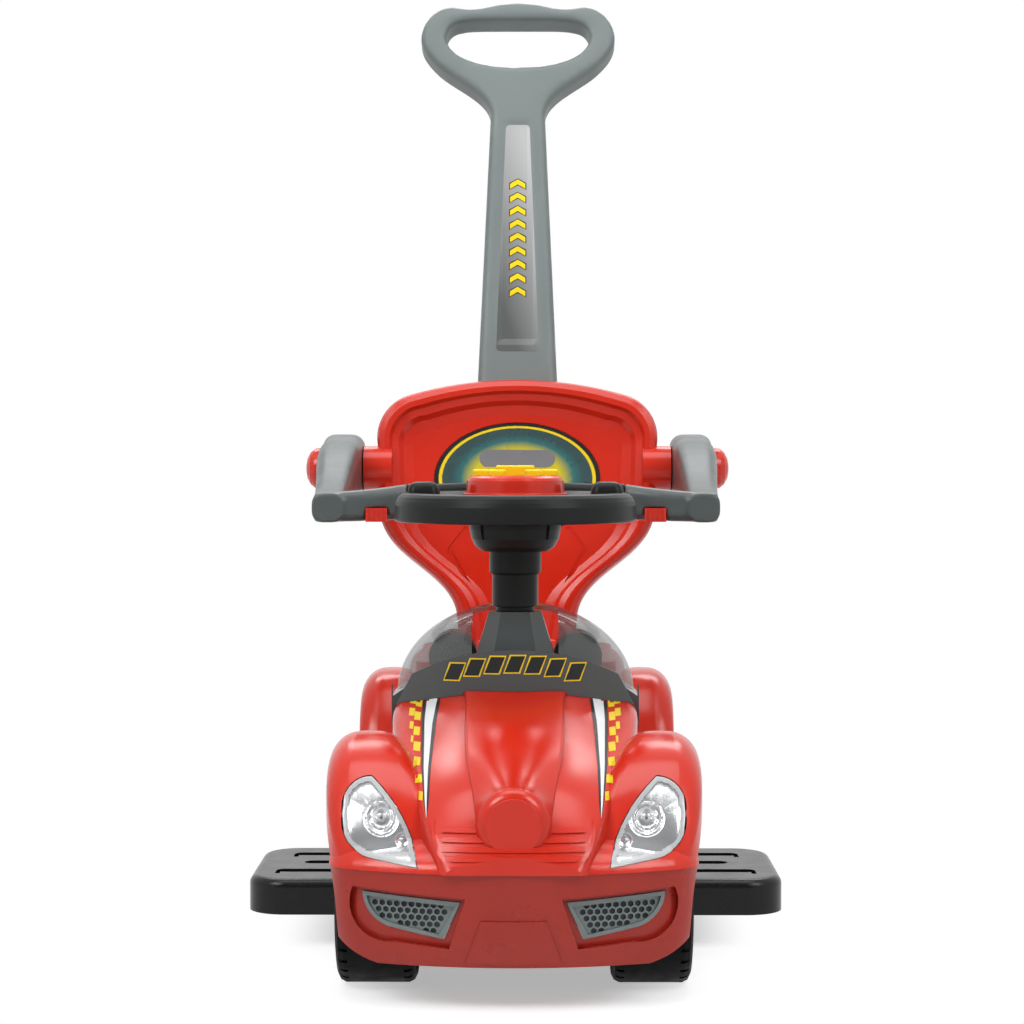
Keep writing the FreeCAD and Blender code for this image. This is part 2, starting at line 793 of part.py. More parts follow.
for side in (1, -1):
    for number, line in enumerate(screw_lines):
        tag = f"{number}_{'left' if side > 0 else 'right'}"
        pan_holes.append(rod(
            f"screw_hole_{tag}", "z", cell.screw_radius + 0.3, mid_low - 1, mid_high + 1,
            x=side * screw_x, y=line,
        ))
        shank = rod(
            f"screw_shank_{tag}", "z", cell.screw_radius, mid_low - 0.5, mid_high + 14,
            x=side * screw_x, y=line,
        )
        head = rod(
            f"screw_head_{tag}", "z", cell.screw_radius + 2, mid_low - 2.5, mid_low - cell.seat_gap,
            x=side * screw_x, y=line,
        )
        screws.append(joined(f"screw_{tag}", shank, head))
        posts.append((float(side * screw_x), float(line)))
keep(less("pan_solid", joined("pan_form", *pan_parts), *pan_holes), "chassis_pan")
keep(group("screw_set", *screws), "chassis_screws")

slides = []
for number, line in enumerate(slide_lines):
    slides.append(rod(
        f"slide_{number}", "x", cell.slide_radius, -cell.slide_half, cell.slide_half, y=line,
        z=cell.slide_height,
    ))
keep(group("slide_pair", *slides), "footrest_rods")


def make_footrest(side, hand):
    """Pull-out step, open below, with grooves on top and two rod tubes inside."""
    body = doc.addObject("PartDesign::Body", f"step_{hand}")
    sketch = sketch_on(body, "XY_Plane", f"step_outline_{hand}")
    low, high = sided(side, cell.foot_inside, cell.foot_outside)
    front = along(cell.foot_front)
    back = along(cell.foot_front + cell.foot_length)
    draw(sketch, [(low, front), (high, front), (high, back), (low, back)])
    pad = body.newObject("PartDesign::Pad", f"step_pad_{hand}")
    pad.Profile = sketch
    pad.setExpression("Length", spell(cell.foot_high - cell.foot_low))
    doc.recompute()
    outer = max(side * v.X for v in pad.Shape.Vertexes)
    upright = [
        f"Edge{n}" for n, e in enumerate(pad.Shape.Edges, 1)
        if abs(e.tangentAt(e.FirstParameter).z) > 0.9 and side * e.CenterOfMass.x > outer - 1
    ]
    round_corner = body.newObject("PartDesign::Fillet", f"step_corners_{hand}")
    round_corner.Base = (pad, upright)
    round_corner.Radius = 32
    doc.recompute()
    top = float(cell.foot_high - cell.foot_low)
    rim = [
        f"Edge{n}" for n, e in enumerate(round_corner.Shape.Edges, 1)
        if abs(e.BoundBox.ZMin - top) < 0.01 and abs(e.BoundBox.ZMax - top) < 0.01
        and side * e.CenterOfMass.x > float(cell.foot_inside) + 1
    ]
    round_top = body.newObject("PartDesign::Fillet", f"step_edge_{hand}")
    round_top.Base = (round_corner, rim)
    round_top.Radius = 7
    body.Tip = round_top
    body.setExpression("Placement.Base.z", spell(cell.foot_low))
    skin = cell.wall + 1
    hollow = block(
        f"step_hollow_{hand}", sided(side, cell.foot_inside + skin, cell.foot_outside - 16),
        (front + 12, back - 12), (cell.foot_low - 1, cell.foot_high - skin),
    )
    shell = less(f"step_shell_{hand}", body, hollow)
    tubes = []
    bores = []
    for number, line in enumerate(slide_lines):
        tubes.append(block(
            f"step_tube_{number}_{hand}", sided(side, cell.foot_inside, cell.foot_outside - 10),
            (line - 8, line + 8), (cell.foot_low, cell.foot_high - 1),
        ))
        bores.append(rod(
            f"step_bore_{number}_{hand}", "x", cell.slide_radius + cell.running_gap,
            *sided(side, cell.foot_inside - 1, cell.foot_outside - 4), y=line, z=cell.slide_height,
        ))
    grooves = []
    groove_z = (cell.foot_high - 2.5, cell.foot_high + 1)
    for number, (share, short) in enumerate(((0.27, 28), (0.52, 48), (0.77, 36))):
        line = front + cell.foot_length * share
        reach = cell.foot_outside - short
        half = cell.groove_width / 2
        grooves.append(block(
            f"step_groove_{number}_{hand}", sided(side, cell.foot_inside + 8, reach),
            (line - half, line + half), groove_z,
        ))
        grooves.append(rod(f"step_groove_end_{number}_{hand}", "z", half, *groove_z, x=side * reach, y=line))
        if number != 1:
            tail = sided(side, reach + half - 4, reach + half)
            grooves.append(block(f"step_hook_{number}_{hand}", tail, (line - 2 * half, line), groove_z))
    whole = joined(f"step_whole_{hand}", shell, *tubes)
    keep(less(f"step_solid_{hand}", whole, *bores, *grooves), f"footrest_{hand}")


for side, hand in ((1, "left"), (-1, "right")):
    make_footrest(side, hand)

# Steering wheel and column

tube_top = cell.bowl_low - cell.seat_gap
bore = cell.rod_radius + cell.seat_gap
tube, _ = turned("column_turn", "V_Axis", [
    (bore, cell.shroud_top + cell.seat_gap),
    (cell.column_radius - 3, cell.shroud_top + cell.seat_gap),
    (cell.column_radius - 3, cell.column_low),
    (cell.column_radius, cell.column_low + 1),
    (cell.column_radius, cell.collar_low),
    (cell.column_radius + 2.4, cell.collar_low + 2),
    (cell.column_radius + 2.4, tube_top),
    (bore, tube_top),
])
keep(stand(tube, 0, column_line, 0), "column_tube")

web_low = cell.grip_low + 4
bowl_top = web_low - cell.seat_gap
bowl, bowl_profile = turned("bowl_turn", "V_Axis", [
    (bore, cell.bowl_low),
    (cell.bowl_radius - 10, cell.bowl_low),
    (cell.bowl_radius - 5, cell.bowl_low + 3.5),
    (cell.bowl_radius - 1.5, cell.bowl_low + 10),
    (cell.bowl_radius, cell.bowl_low + 18),
    (cell.bowl_radius, bowl_top),
    (cell.bowl_radius - 2.5, bowl_top),
    (cell.bowl_radius - 2.5, cell.bowl_low + 18),
    (cell.bowl_radius - 4, cell.bowl_low + 10),
    (cell.bowl_radius - 7.5, cell.bowl_low + 5),
    (cell.bowl_radius - 10, cell.bowl_low + 3),
    (bore, cell.bowl_low + 3),
])
slot = sketch_on(bowl, "XZ_Plane", "bowl_slot")
draw(slot, [
    (cell.bowl_radius - 2.6, cell.bowl_low + 10),
    (cell.bowl_radius + 4, cell.bowl_low + 10),
    (cell.bowl_radius + 4, bowl_top - 3),
    (cell.bowl_radius - 1.1, bowl_top - 3),
])
slot_cut = bowl.newObject("PartDesign::Groove", "bowl_slot_cut")
slot_cut.Profile = slot
slot_cut.ReferenceAxis = (slot, ["V_Axis"])
slot_cut.Angle = 6
slot_cut.Midplane = True
doc.recompute()
slots = bowl.newObject("PartDesign::PolarPattern", "bowl_slots")
slots.Originals = [slot_cut]
slots.Axis = (slot, ["V_Axis"])
slots.Angle = 360
slots.Occurrences = 4
bowl.Tip = slots
stand(bowl, 0, column_line, 0)
bowl.Placement = Placement(bowl.Placement.Base, Rotation(Vector(0, 0, 1), 45))
keep(bowl, "hub_bowl")

grip_in = cell.grip_radius - cell.grip_width
grip_top = cell.grip_low + cell.grip_height
web_high = cell.horn_low - cell.seat_gap
hub_edge = cell.horn_radius + 4
wheel, wheel_profile = turned("grip_turn", "V_Axis", [
    (cell.rod_radius + cell.seat_gap, web_low),
    (grip_in + 1, web_low),
    (grip_in + 3, cell.grip_low + 1.5),
    (grip_in + 7, cell.grip_low),
    (cell.grip_radius - 2, cell.grip_low),
    (cell.grip_radius - 0.5, cell.grip_low + 0.6),
    (cell.grip_radius, cell.grip_low + 2),
    (cell.grip_radius - 0.4, grip_top - 10),
    (cell.grip_radius - 1.4, grip_top - 6.5),
    (cell.grip_radius - 3.4, grip_top - 3),
    (cell.grip_radius - 6, grip_top - 0.9),
    (cell.grip_radius - 9, grip_top),
    (grip_in + 7, grip_top),
    (grip_in + 2, grip_top - 3),
    (grip_in, web_high - 4),
    (hub_edge, web_high - 4),
    (hub_edge - 2, web_high),
    (cell.rod_radius + cell.seat_gap, web_high),
])
windows = []
for number, (start, sweep) in enumerate(((22, 136), (202, 56), (282, 56))):
    outer = rod(f"grip_window_{number}", "z", grip_in - 1, web_low - 2, web_high + 2, x=0, y=column_line)
    outer.Placement = Placement(outer.Placement.Base, Rotation(Vector(0, 0, 1), start))
    outer.Angle = sweep
    inner = rod(f"grip_core_{number}", "z", hub_edge, web_low - 3, web_high + 3, x=0, y=column_line)
    windows.append(less(f"grip_gap_{number}", outer, inner))
stand(wheel, 0, column_line, 0)
keep(less("grip_solid", wheel, *windows), "steering_wheel")

horn_top = cell.horn_low + cell.horn_height
cap_skin = 2.5
dome, _ = turned("horn_turn", "V_Axis", [
    (0, horn_top),
    (cell.horn_radius - 10, horn_top),
    (cell.horn_radius - 7, horn_top - 0.5),
    (cell.horn_radius - 4.8, horn_top - 1.8),
    (cell.horn_radius - 3.4, horn_top - 4),
    (cell.horn_radius - 3, horn_top - 7),
    (cell.horn_radius - 2.6, cell.horn_low + 3.4),
    (cell.horn_radius - 0.4, cell.horn_low + 3),
    (cell.horn_radius, cell.horn_low + 2.4),
    (cell.horn_radius, cell.horn_low),
    (cell.horn_radius - 4.5, cell.horn_low),
    (cell.horn_radius - 5, horn_top - 5),
    (cell.horn_radius - 5.6, horn_top - cap_skin),
    (0, horn_top - cap_skin),
])
stand(dome, 0, column_line, 0)
BUTTONS = (
    ("button_middle", 0, 11, True),
    ("button_inner_left", 14.5, -15, False),
    ("button_inner_right", -14.5, -15, False),
    ("button_outer_left", 27.5, 0, False),
    ("button_outer_right", -27.5, 0, False),
)
button_holes = []
for name, x, offset, long in BUTTONS:
    half = (cell.button_long if long else cell.button_width) / 2
    deep = cell.button_depth / 2
    line = column_line + offset
    button_holes.append(block(
        name + "_hole", (x - half - cell.seat_gap, x + half + cell.seat_gap),
        (line - deep - cell.seat_gap, line + deep + cell.seat_gap), (horn_top - 8, horn_top + 1),
    ))
    key_top = horn_top + cell.button_rise * (1.6 if long else 1)
    key = block(name + "_key", (x - half, x + half), (line - deep, line + deep), (horn_top - 4, key_top))
    soft = doc.addObject("Part::Fillet", name + "_soft")
    soft.Base = key
    doc.recompute()
    edges = []
    for number, edge in enumerate(key.Shape.Edges, 1):
        if edge.BoundBox.ZMin > float(horn_top):
            edges.append((number, 1.8, 1.8))
        elif edge.BoundBox.ZLength > 1:
            edges.append((number, 3.0, 3.0))
    soft.Edges = edges
    flange = block(
        name + "_flange", (x - half - 1.2, x + half + 1.2), (line - deep - 1.2, line + deep + 1.2),
        (horn_top - cap_skin - cell.seat_gap - 2, horn_top - cap_skin - cell.seat_gap),
    )
    keep(joined(name + "_solid", soft, flange), name)
keep(less("horn_solid", dome, *button_holes), "horn_cap")

board_low = cell.horn_low + cell.seat_gap
board_high = board_low + 1.6
board_plate = block(
    "board_plate", (Size(-29, "(-29)"), 29), (column_line - 22, column_line + 17), (board_low, board_high),
)
keep(board_plate, "sound_board")
pad_low = board_high + cell.seat_gap
pad_plate = block(
    "keypad_plate", (Size(-29, "(-29)"), 29), (column_line - 21, column_line + 14), (pad_low, pad_low + 1.5)
)
pegs = [pad_plate]
key_under = horn_top - cap_skin - cell.seat_gap - 2
for name, x, offset, long in BUTTONS:
    pegs.append(
        rod(name + "_peg", "z", Size(2.5, "(2.5)"), pad_low, key_under - 2.3, x=x, y=column_line + offset)
    )
keep(joined("keypad_solid", *pegs), "keypad")
cone_back = column_line + 26
keep(rod("speaker_cone", "z", Size(7, "(7)"), board_low, board_low + 7, x=0, y=cone_back), "speaker")
cell_floor = cell.bowl_low + 3 + cell.seat_gap
cells = []
for side in (1, -1):
    cells.append(rod(
        f"cell_{'back' if side > 0 else 'front'}", "x", Size(5.2, "(5.2)"), Size(-22, "(-22)"),
        Size(22, "(22)"),
        y=column_line + side * 12.5, z=cell_floor + 5.2,
    ))
keep(group("cell_pair", *cells), "batteries")

# Seat lid and storage tub

tub_low = cell.deck_height - cell.tub_depth
flange_low = cell.deck_height + 2 * cell.seat_gap
flange_high = flange_low + 2.4
tub_x = (-cell.tub_width / 2, cell.tub_width / 2)
tub_y = (along(cell.tub_front), along(cell.tub_front + cell.tub_length))
tub_walls = block("tub_walls", tub_x, tub_y, (tub_low, flange_high))
flange_x = (tub_x[0] - 6, tub_x[1] + 6)
flange_y = (tub_y[0] - 6, tub_y[1] + 6)
tub_flange = block("tub_flange", flange_x, flange_y, (flange_low, flange_high))
tub_room = block(
    "tub_room", (tub_x[0] + cell.wall, tub_x[1] - cell.wall), (tub_y[0] + cell.wall, tub_y[1] - cell.wall),
    (tub_low + cell.wall, flange_high + 1),
)
keep(less("tub_solid", joined("tub_form", tub_walls, tub_flange), tub_room), "storage_tub")

lid_low = flange_high + cell.seat_gap
lid_high = lid_low + cell.lid_thick
pin_line = along(cell.lid_back + 7)
pin_height = lid_low + 6
lid = doc.addObject("PartDesign::Body", "lid_pad_body")
lid_sketch = sketch_on(lid, "YZ_Plane", "lid_outline")
lid_a = along(cell.lid_front)
lid_b = along(cell.lid_back)
lid_run = cell.lid_back - cell.lid_front
draw(lid_sketch, [
    (lid_a, lid_low),
    (lid_a, lid_high - 3),
    (lid_a + 4, lid_high),
    (lid_a + lid_run * 0.2, lid_high),
    (lid_a + lid_run * 0.4, lid_high - 2),
    (lid_a + lid_run * 0.65, lid_high - 3),
    (lid_a + lid_run * 0.85, lid_high - 1),
    (lid_b - 3, lid_high + 2),
    (lid_b, lid_high),
    (lid_b, lid_low),
])
lid_pad = lid.newObject("PartDesign::Pad", "lid_pad")
lid_pad.Profile = lid_sketch
lid_pad.Midplane = True
lid_pad.setExpression("Length", spell(cell.lid_width))
doc.recompute()
lid_corners = [
    f"Edge{n}" for n, e in enumerate(lid_pad.Shape.Edges, 1)
    if e.BoundBox.XLength < 0.01 and e.BoundBox.YLength < 0.01 and e.BoundBox.ZLength > 5
]
lid_round = lid.newObject("PartDesign::Fillet", "lid_corners")
lid_round.Base = (lid_pad, lid_corners)
lid_round.Radius = 16
lid.Tip = lid_round
lugs = []
for side, hand in ((1, "left"), (-1, "right")):
    stretch = sided(side, Size(34, "(34)"), Size(50, "(50)"))
    lugs.append(rod(f"lid_lug_{hand}", "x", Size(5.5, "(5.5)"), *stretch, y=pin_line, z=pin_height))
    lugs.append(block(
        f"lid_strap_{hand}", stretch, (lid_b - 2, pin_line), (pin_height - 5.5, pin_height + 2),
    ))
pin_bore = rod(
    "lid_pin_bore", "x", cell.lid_pin_radius + cell.running_gap, -cell.lid_width / 2, cell.lid_width / 2,
    y=pin_line, z=pin_height,
)
keep(less("lid_solid", joined("lid_whole", lid, *lugs), pin_bore), "seat_lid")
pin_half = Size(64, "(64)")
lid_rod = rod("lid_pin", "x", cell.lid_pin_radius, -pin_half, pin_half, y=pin_line, z=pin_height)
keep(lid_rod, "seat_hinge_pin")

# Backrest with its handle socket

back_turn = Rotation(Vector(1, 0, 0), -mm.back_lean)
back_place = Placement(Vector(0, at(mm.back_front), mm.deck_height + 6), back_turn)
handle_turn = Rotation(Vector(1, 0, 0), -mm.handle_lean)
handle_place = Placement(Vector(0, at(mm.handle_station), mm.handle_rise), handle_turn)


def back_wire(inset, depth, foot=0):
    """Tulip outline of the backrest at one depth, drawn in by the inset."""
    half = mm.back_half
    low = mm.waist_half
    tall = mm.back_height

    def place(u, v):
        return Vector(u, depth, v)

    def side_edges(s):
        a = place(s * (low - inset), foot)
        b = place(s * (low + 4 - inset), 0.12 * tall)
        c = place(s * (half - 2 - inset), 0.52 * tall)
        d = place(s * (half - inset), 0.76 * tall)
        bend = place(s * (half - 8 - inset), 0.885 * tall - 0.6 * inset)
        e = place(s * (half - 31 - 0.7 * inset), 0.945 * tall - inset)
        flare = Part.BezierCurve()
        flare.setPoles([
            b, place(s * (low + 7 - inset), 0.30 * tall), place(s * (half - 6 - inset), 0.33 * tall), c,
        ])
        edges = [
            Part.makeLine(a, b), flare.toShape(), Part.makeLine(c, d), Part.Arc(d, bend, e).toShape(),
        ]
        return edges, a, e

    right, right_foot, right_end = side_edges(1)
    left, left_foot, left_end = side_edges(-1)
    crest = Part.Arc(right_end, place(0, tall - inset), left_end).toShape()
    return Part.Wire(right + [crest] + left[::-1] + [Part.makeLine(left_foot, right_foot)])


def placed(shape, placement):
    """Copy of a shape put in the car."""
    copy = shape.copy()
    copy.Placement = placement
    return copy


def stem_shape(gap):
    """Straight lower part of the push handle, grown by the gap, in the handle's own frame."""
    half = 38.5 + gap
    deep = mm.handle_thick / 2 + gap
    low = -mm.handle_plug - gap
    return box_of((-half, half), (-deep, deep), (low, 60))


def make_backrest():
    """Dished backrest with a raised rim, side bosses, foot tongue and handle socket."""
    thick = mm.back_thick
    rows = ((7, 0), (2, 2.5), (0, 7), (0, thick - 8), (7, thick))
    form = Part.makeLoft([back_wire(inset, depth, -20) for inset, depth in rows], True, True)
    steps = ((11, -1, 8), (14, 4, 9), (20, 5.5, 11), (24, 10, 13), (33, 12, 16))
    dish = Part.makeLoft([back_wire(inset, depth, foot) for inset, depth, foot in steps], True, True)
    form = form.cut(dish)
    middle = Vector(0, 11, mm.badge_height)
    oval = Part.Ellipse(middle + Vector(mm.badge_half, 0, 0), middle + Vector(0, 0, mm.badge_rise), middle)
    form = form.cut(Part.Face(Part.Wire(oval.toShape())).extrude(Vector(0, 2.2, 0)))
    for side in (1, -1):
        for foot, length, lean in (((36, 47), 56, 30), ((64, 96), 27, -37)):
            channel = box_of((-2, 2), (11, 13), (0, length))
            turn = Rotation(Vector(0, 1, 0), side * lean)
            form = form.cut(placed(channel, Placement(Vector(side * foot[0], 0, foot[1]), turn)))
    form = placed(form, back_place)
    deep = mm.handle_thick / 2 + 5
    socket = box_of((-45, 45), (-deep, deep), (-mm.handle_plug - 6, -6))
    upright = [edge for edge in socket.Edges if edge.BoundBox.ZLength > 1]
    socket = placed(socket.makeFillet(8, upright), handle_place)
    front_side = placed(box_of((-200, 200), (-200, 13), (-100, 400)), back_place)
    form = form.fuse(socket.cut(front_side))
    for side in (1, -1):
        inner = mm.back_half - 14
        length = mm.arm_inside - mm.seat_gap - inner
        base = Vector(side * inner, at(mm.pivot_station), mm.pivot_height)
        form = form.fuse(Part.makeCylinder(21, length, base, Vector(side, 0, 0)))
    form = form.cut(box_of((-200, 200), (at(0), at(900)), (0, deck_rest)))
    form = form.fuse(tongue_shape(0))
    form = form.cut(placed(stem_shape(mm.seat_gap), handle_place))
    for side in (1, -1):
        start = Vector(side * (mm.back_half - 22), at(mm.pivot_station), mm.pivot_height)
        form = form.cut(Part.makeCylinder(mm.pivot_radius + mm.running_gap, 60, start, Vector(side, 0, 0)))
    return form.removeSplitter()


deck_rest = mm.deck_height * 1.028 + 1.0


def tongue_shape(gap):
    """Foot of the backrest that plugs into the deck."""
    front = at(mm.back_front) + 4
    return box_of(
        (-mm.waist_half + 8 - gap, mm.waist_half - 8 + gap),
        (front - gap, front + mm.back_thick - 8 + gap),
        (mm.deck_height - 60 - gap, deck_rest + 3),
    )


keep(formed("backrest_form", make_backrest()), "backrest")


def make_handle():
    """Tapered stem that widens into a closed hand loop, with a label recess."""
    reach = mm.handle_reach
    half = mm.handle_half
    deep = mm.handle_thick / 2

    def place(u, v):
        return Vector(u, -deep, v)

    def bezier(*poles):
        curve = Part.BezierCurve()
        curve.setPoles([place(u, v) for u, v in poles])
        return curve.toShape()

    def side_edges(s):
        foot = (s * 38.2, -mm.handle_plug)
        knee = (s * 38.2, 0)
        neck = (s * 27, 0.69 * reach)
        wing = (s * (half - 14), 0.835 * reach)
        widest = (s * half, 0.905 * reach)
        before = (wing[0] - s * 17, wing[1] - 19.5)
        after = (wing[0] + s * 6.6, wing[1] + 7.5)
        ear = (s * (half - 30), 0.989 * reach)
        dip = (s * (half - 49), 0.984 * reach)
        crest = (0, reach)
        edges = [
            Part.makeLine(place(*foot), place(*knee)),
            Part.makeLine(place(*knee), place(*neck)),
            bezier(neck, (s * 26.6, neck[1] + 26), before, wing),
            bezier(wing, after, (s * half, widest[1] - 12), widest),
            bezier(widest, (s * half, widest[1] + 14), (s * (half - 12), ear[1]), ear),
            bezier(ear, (ear[0] - s * 9, ear[1]), (dip[0] + s * 8, dip[1]), dip),
            bezier(dip, (dip[0] - s * 16, dip[1]), (s * 25, crest[1]), crest),
        ]
        return edges, place(*foot)

    right, right_foot = side_edges(1)
    left, left_foot = side_edges(-1)
    outline = Part.Wire(right + left[::-1] + [Part.makeLine(left_foot, right_foot)])
    form = Part.Face(outline).extrude(Vector(0, mm.handle_thick, 0))
    eye = [
        (0, 0.822), (30, 0.828), (half - 45, 0.845), (half - 30, 0.873), (half - 25.5, 0.905),
        (half - 31, 0.935), (half - 49, 0.949), (20, 0.951),
    ]
    eye += [(0, 0.951)] + [(-u, v) for u, v in eye[:0:-1]]
    ring = Part.BSplineCurve()
    ring.interpolate([place(u, v * reach) for u, v in eye], PeriodicFlag=True)
    form = form.cut(Part.Face(Part.Wire(ring.toShape())).extrude(Vector(0, mm.handle_thick, 0)))
    form = form.Solids[0]
    flat = [edge for edge in form.Edges if edge.BoundBox.YLength < 0.01]
    rim = [edge for edge in flat if edge.Curve.TypeId != "Part::GeomBSplineCurve"]
    form = form.makeFillet(7, rim)
    flat = [edge for edge in form.Edges if edge.BoundBox.YLength < 0.01]
    lip = [edge for edge in flat if edge.BoundBox.ZMin > 0.8 * reach and edge.BoundBox.ZMax < 0.955 * reach
           and edge.isClosed()]
    form = form.makeFillet(4.5, lip)
    label = [place(-22, 36), place(22, 36), place(12.5, reach * 0.672), place(-12.5, reach * 0.672)]
    recess = Part.Face(Part.makePolygon(label + label[:1])).extrude(Vector(0, 1.5, 0))
    recess = recess.makeFillet(4, [edge for edge in recess.Edges if edge.BoundBox.YLength > 1])
    return placed(form.cut(recess), handle_place)


keep(formed("handle_form", make_handle()), "push_handle")


# Guard rail

def soft_wire(place, low_u, high_u, low_v, high_v, radius):
    """Rectangle with round corners."""
    k = radius * (1 - math.sqrt(0.5))
    bl, br = (low_u + radius, low_v), (high_u - radius, low_v)
    rb, rt = (high_u, low_v + radius), (high_u, high_v - radius)
    tr, tl = (high_u - radius, high_v), (low_u + radius, high_v)
    lt, lb = (low_u, high_v - radius), (low_u, low_v + radius)
    edges = [
        Part.makeLine(place(*bl), place(*br)),
        Part.Arc(place(*br), place(high_u - k, low_v + k), place(*rb)).toShape(),
        Part.makeLine(place(*rb), place(*rt)),
        Part.Arc(place(*rt), place(high_u - k, high_v - k), place(*tr)).toShape(),
        Part.makeLine(place(*tr), place(*tl)),
        Part.Arc(place(*tl), place(low_u + k, high_v - k), place(*lt)).toShape(),
        Part.makeLine(place(*lt), place(*lb)),
        Part.Arc(place(*lb), place(low_u + k, low_v + k), place(*bl)).toShape(),
    ]
    return Part.Wire(edges)


def bar_loft(rows):
    """Bar running across the car through rows of (x, front, back, low, high, radius)."""
    wires = []
    for x, front, back, low, high, radius in rows:

        def place(u, v, x=x):
            return Vector(x, at(u), v)

        wires.append(soft_wire(place, front, back, low, high, radius))
    return Part.makeLoft(wires, True)


pivot_s = mm.pivot_station
pivot_z = mm.pivot_height
bar_front = mm.column_station + mm.grip_radius + 3
bar_low = mm.grip_low - 3
ARM = (
    (pivot_s + 34, 5, 6, -15, 15, 9),
    (pivot_s + 28, 1, 1, -25, 26, 11),
    (pivot_s, 0, 0, -31, 32, 12),
    (pivot_s - 50, 0, 1, -32, 27, 12),
    (pivot_s - 140, 0, 5, -36, 6, 11),
    (pivot_s - 225, 0, 10, -41, -14, 9),
    (bar_front - 18, 0, 12, -42, -17, 9),
)


def tongue_rows(side, gap):
    """Tongue that joins the bar to an arm."""
    stretch = sided(side, mm.bar_half - 4 - gap, mm.bar_half + 36 + gap)
    return box_of(
        stretch, (at(bar_front + 3 - gap), at(bar_front + 15 + gap)), (bar_low + 7 - gap, bar_low + 19 + gap),
    )


def make_arm(side):
    """Arm from the pivot to the front corner, with its stretch of the front bar."""
    wires = []
    for station, inner, outer, low, high, radius in ARM:
        low_x, high_x = sided(side, mm.arm_inside + inner, mm.arm_inside + mm.arm_width - outer)

        def place(u, v, station=station):
            return Vector(u, at(station), v)

        wires.append(soft_wire(place, low_x, high_x, pivot_z + low, pivot_z + high, radius))
    faces = sided(side, mm.arm_inside, mm.arm_inside + mm.arm_width)
    form = Part.makeLoft(wires, True).common(box_of(faces, (-1000, 1000), (0, 1000)))
    end = mm.arm_inside + mm.arm_width - 14
    front = bar_front - 18
    rows = [
        (side * end, front, front + 26, bar_low - 1, bar_low + 24, 8),
        (side * (end - 48), front + 6, front + 31, bar_low, bar_low + 27, 8),
        (side * (mm.bar_half + mm.seat_gap), bar_front - 2, bar_front + 24, bar_low + 1, bar_low + 31, 8),
    ]
    form = form.fuse(bar_loft(rows))
    start = Vector(side * (mm.arm_inside - 5), at(pivot_s), pivot_z)
    form = form.cut(
        Part.makeCylinder(mm.pivot_radius + mm.running_gap, mm.arm_width + 20, start, Vector(side, 0, 0))
    )
    form = form.cut(tongue_rows(side, mm.seat_gap))
    return form.cut(latch_room(side)).removeSplitter()


def latch_box(side, gap, push):
    """Latch button, or the notch that takes it."""
    stretch = sided(side, latch_x - 9 - gap, latch_x + 9 + gap)
    front = bar_front - 13.5
    low = bar_low - 0.6 - push
    return box_of(stretch, (at(front), at(front + 8 + push)), (low, bar_low + 11 + gap))


def latch_room(side):
    """Notch with room for the latch to travel."""
    return latch_box(side, mm.seat_gap, 3.6)


latch_x = mm.bar_half + 26


def make_latch(side):
    """Ribbed latch button."""
    form = latch_box(side, 0, 0)
    for step in range(4):
        low = sided(side, latch_x - 7.4 + 4 * step, latch_x - 5.4 + 4 * step)
        front = at(bar_front - 13.5)
        form = form.cut(box_of(low, (front - 1, front + 1.2), (bar_low - 2, bar_low + 12)))
    upright = [e for e in form.Edges if e.BoundBox.XLength > 17 and e.BoundBox.YMin > at(bar_front - 7)]
    return form.makeFillet(1.0, upright)


for side, hand in ((1, "left"), (-1, "right")):
    keep(formed(f"arm_form_{hand}", make_arm(side)), f"guard_arm_{hand}")
    keep(formed(f"latch_form_{hand}", make_latch(side)), f"latch_button_{hand}")

bar_rows = [
    (-mm.bar_half, bar_front - 2, bar_front + 24, bar_low + 1, bar_low + 31, 8),
    (-0.45 * mm.bar_half, bar_front + 7, bar_front + 31, bar_low + 3, bar_low + 32, 8),
    (0, bar_front + 9, bar_front + 33, bar_low + 4, bar_low + 33, 8),
    (0.45 * mm.bar_half, bar_front + 7, bar_front + 31, bar_low + 3, bar_low + 32, 8),
    (mm.bar_half, bar_front - 2, bar_front + 24, bar_low + 1, bar_low + 31, 8),
]
bar_form = bar_loft(bar_rows).fuse([tongue_rows(1, 0), tongue_rows(-1, 0)])
keep(formed("bar_form", bar_form.removeSplitter()), "guard_bar")

for side, hand in ((1, "left"), (-1, "right")):
    inner = cell.back_half - 18
    seat = cell.arm_inside + cell.arm_width + 0.4
    knob, _ = turned(f"knob_turn_{hand}", "H_Axis", [
        (inner, 0),
        (inner, cell.pivot_radius),
        (seat, cell.pivot_radius),
        (seat, cell.pivot_radius + 12),
        (seat + 3, cell.pivot_radius + 13.4),
        (seat + 7, cell.pivot_radius + 12.6),
        (seat + 11, cell.pivot_radius + 9.4),
        (seat + 14, cell.pivot_radius + 4),
        (seat + 15.2, cell.pivot_radius - 2),
        (seat + 15.5, 0),
    ])
    stand(knob, 0, along(cell.pivot_station), cell.pivot_height, 0 if side > 0 else 180)
    keep(knob, f"pivot_knob_{hand}")

# Body shell, bumper, cowl, windscreen and lamps

outer_form = outside(0)
inner_form = outside(mm.wall)


BULGE = (
    (15.5, 0.98, 28.0, 1.00, 2),
    (32, 1.06, 32.5, 1.35, 2),
    (70, 1.25, 48.0, 2.90, 3),
    (130, 1.375, 67.0, 8.2, 3),
    (206, 1.52, 85.0, 7.5, 3),
)


def bulge(inset):
    """Raised middle of the hood, round at the nose drum and flatter with crisp edges towards the cowl."""
    wires = []
    for station, wide, rise, crown, corner in BULGE:
        half = wide * mm.nose_radius - inset
        top = mm.nose_height + rise - inset
        wires.append(cross_wire(station, 0, half, top, crown * mm.nose_radius - inset, corner - inset))
    return Part.makeLoft(wires, True)


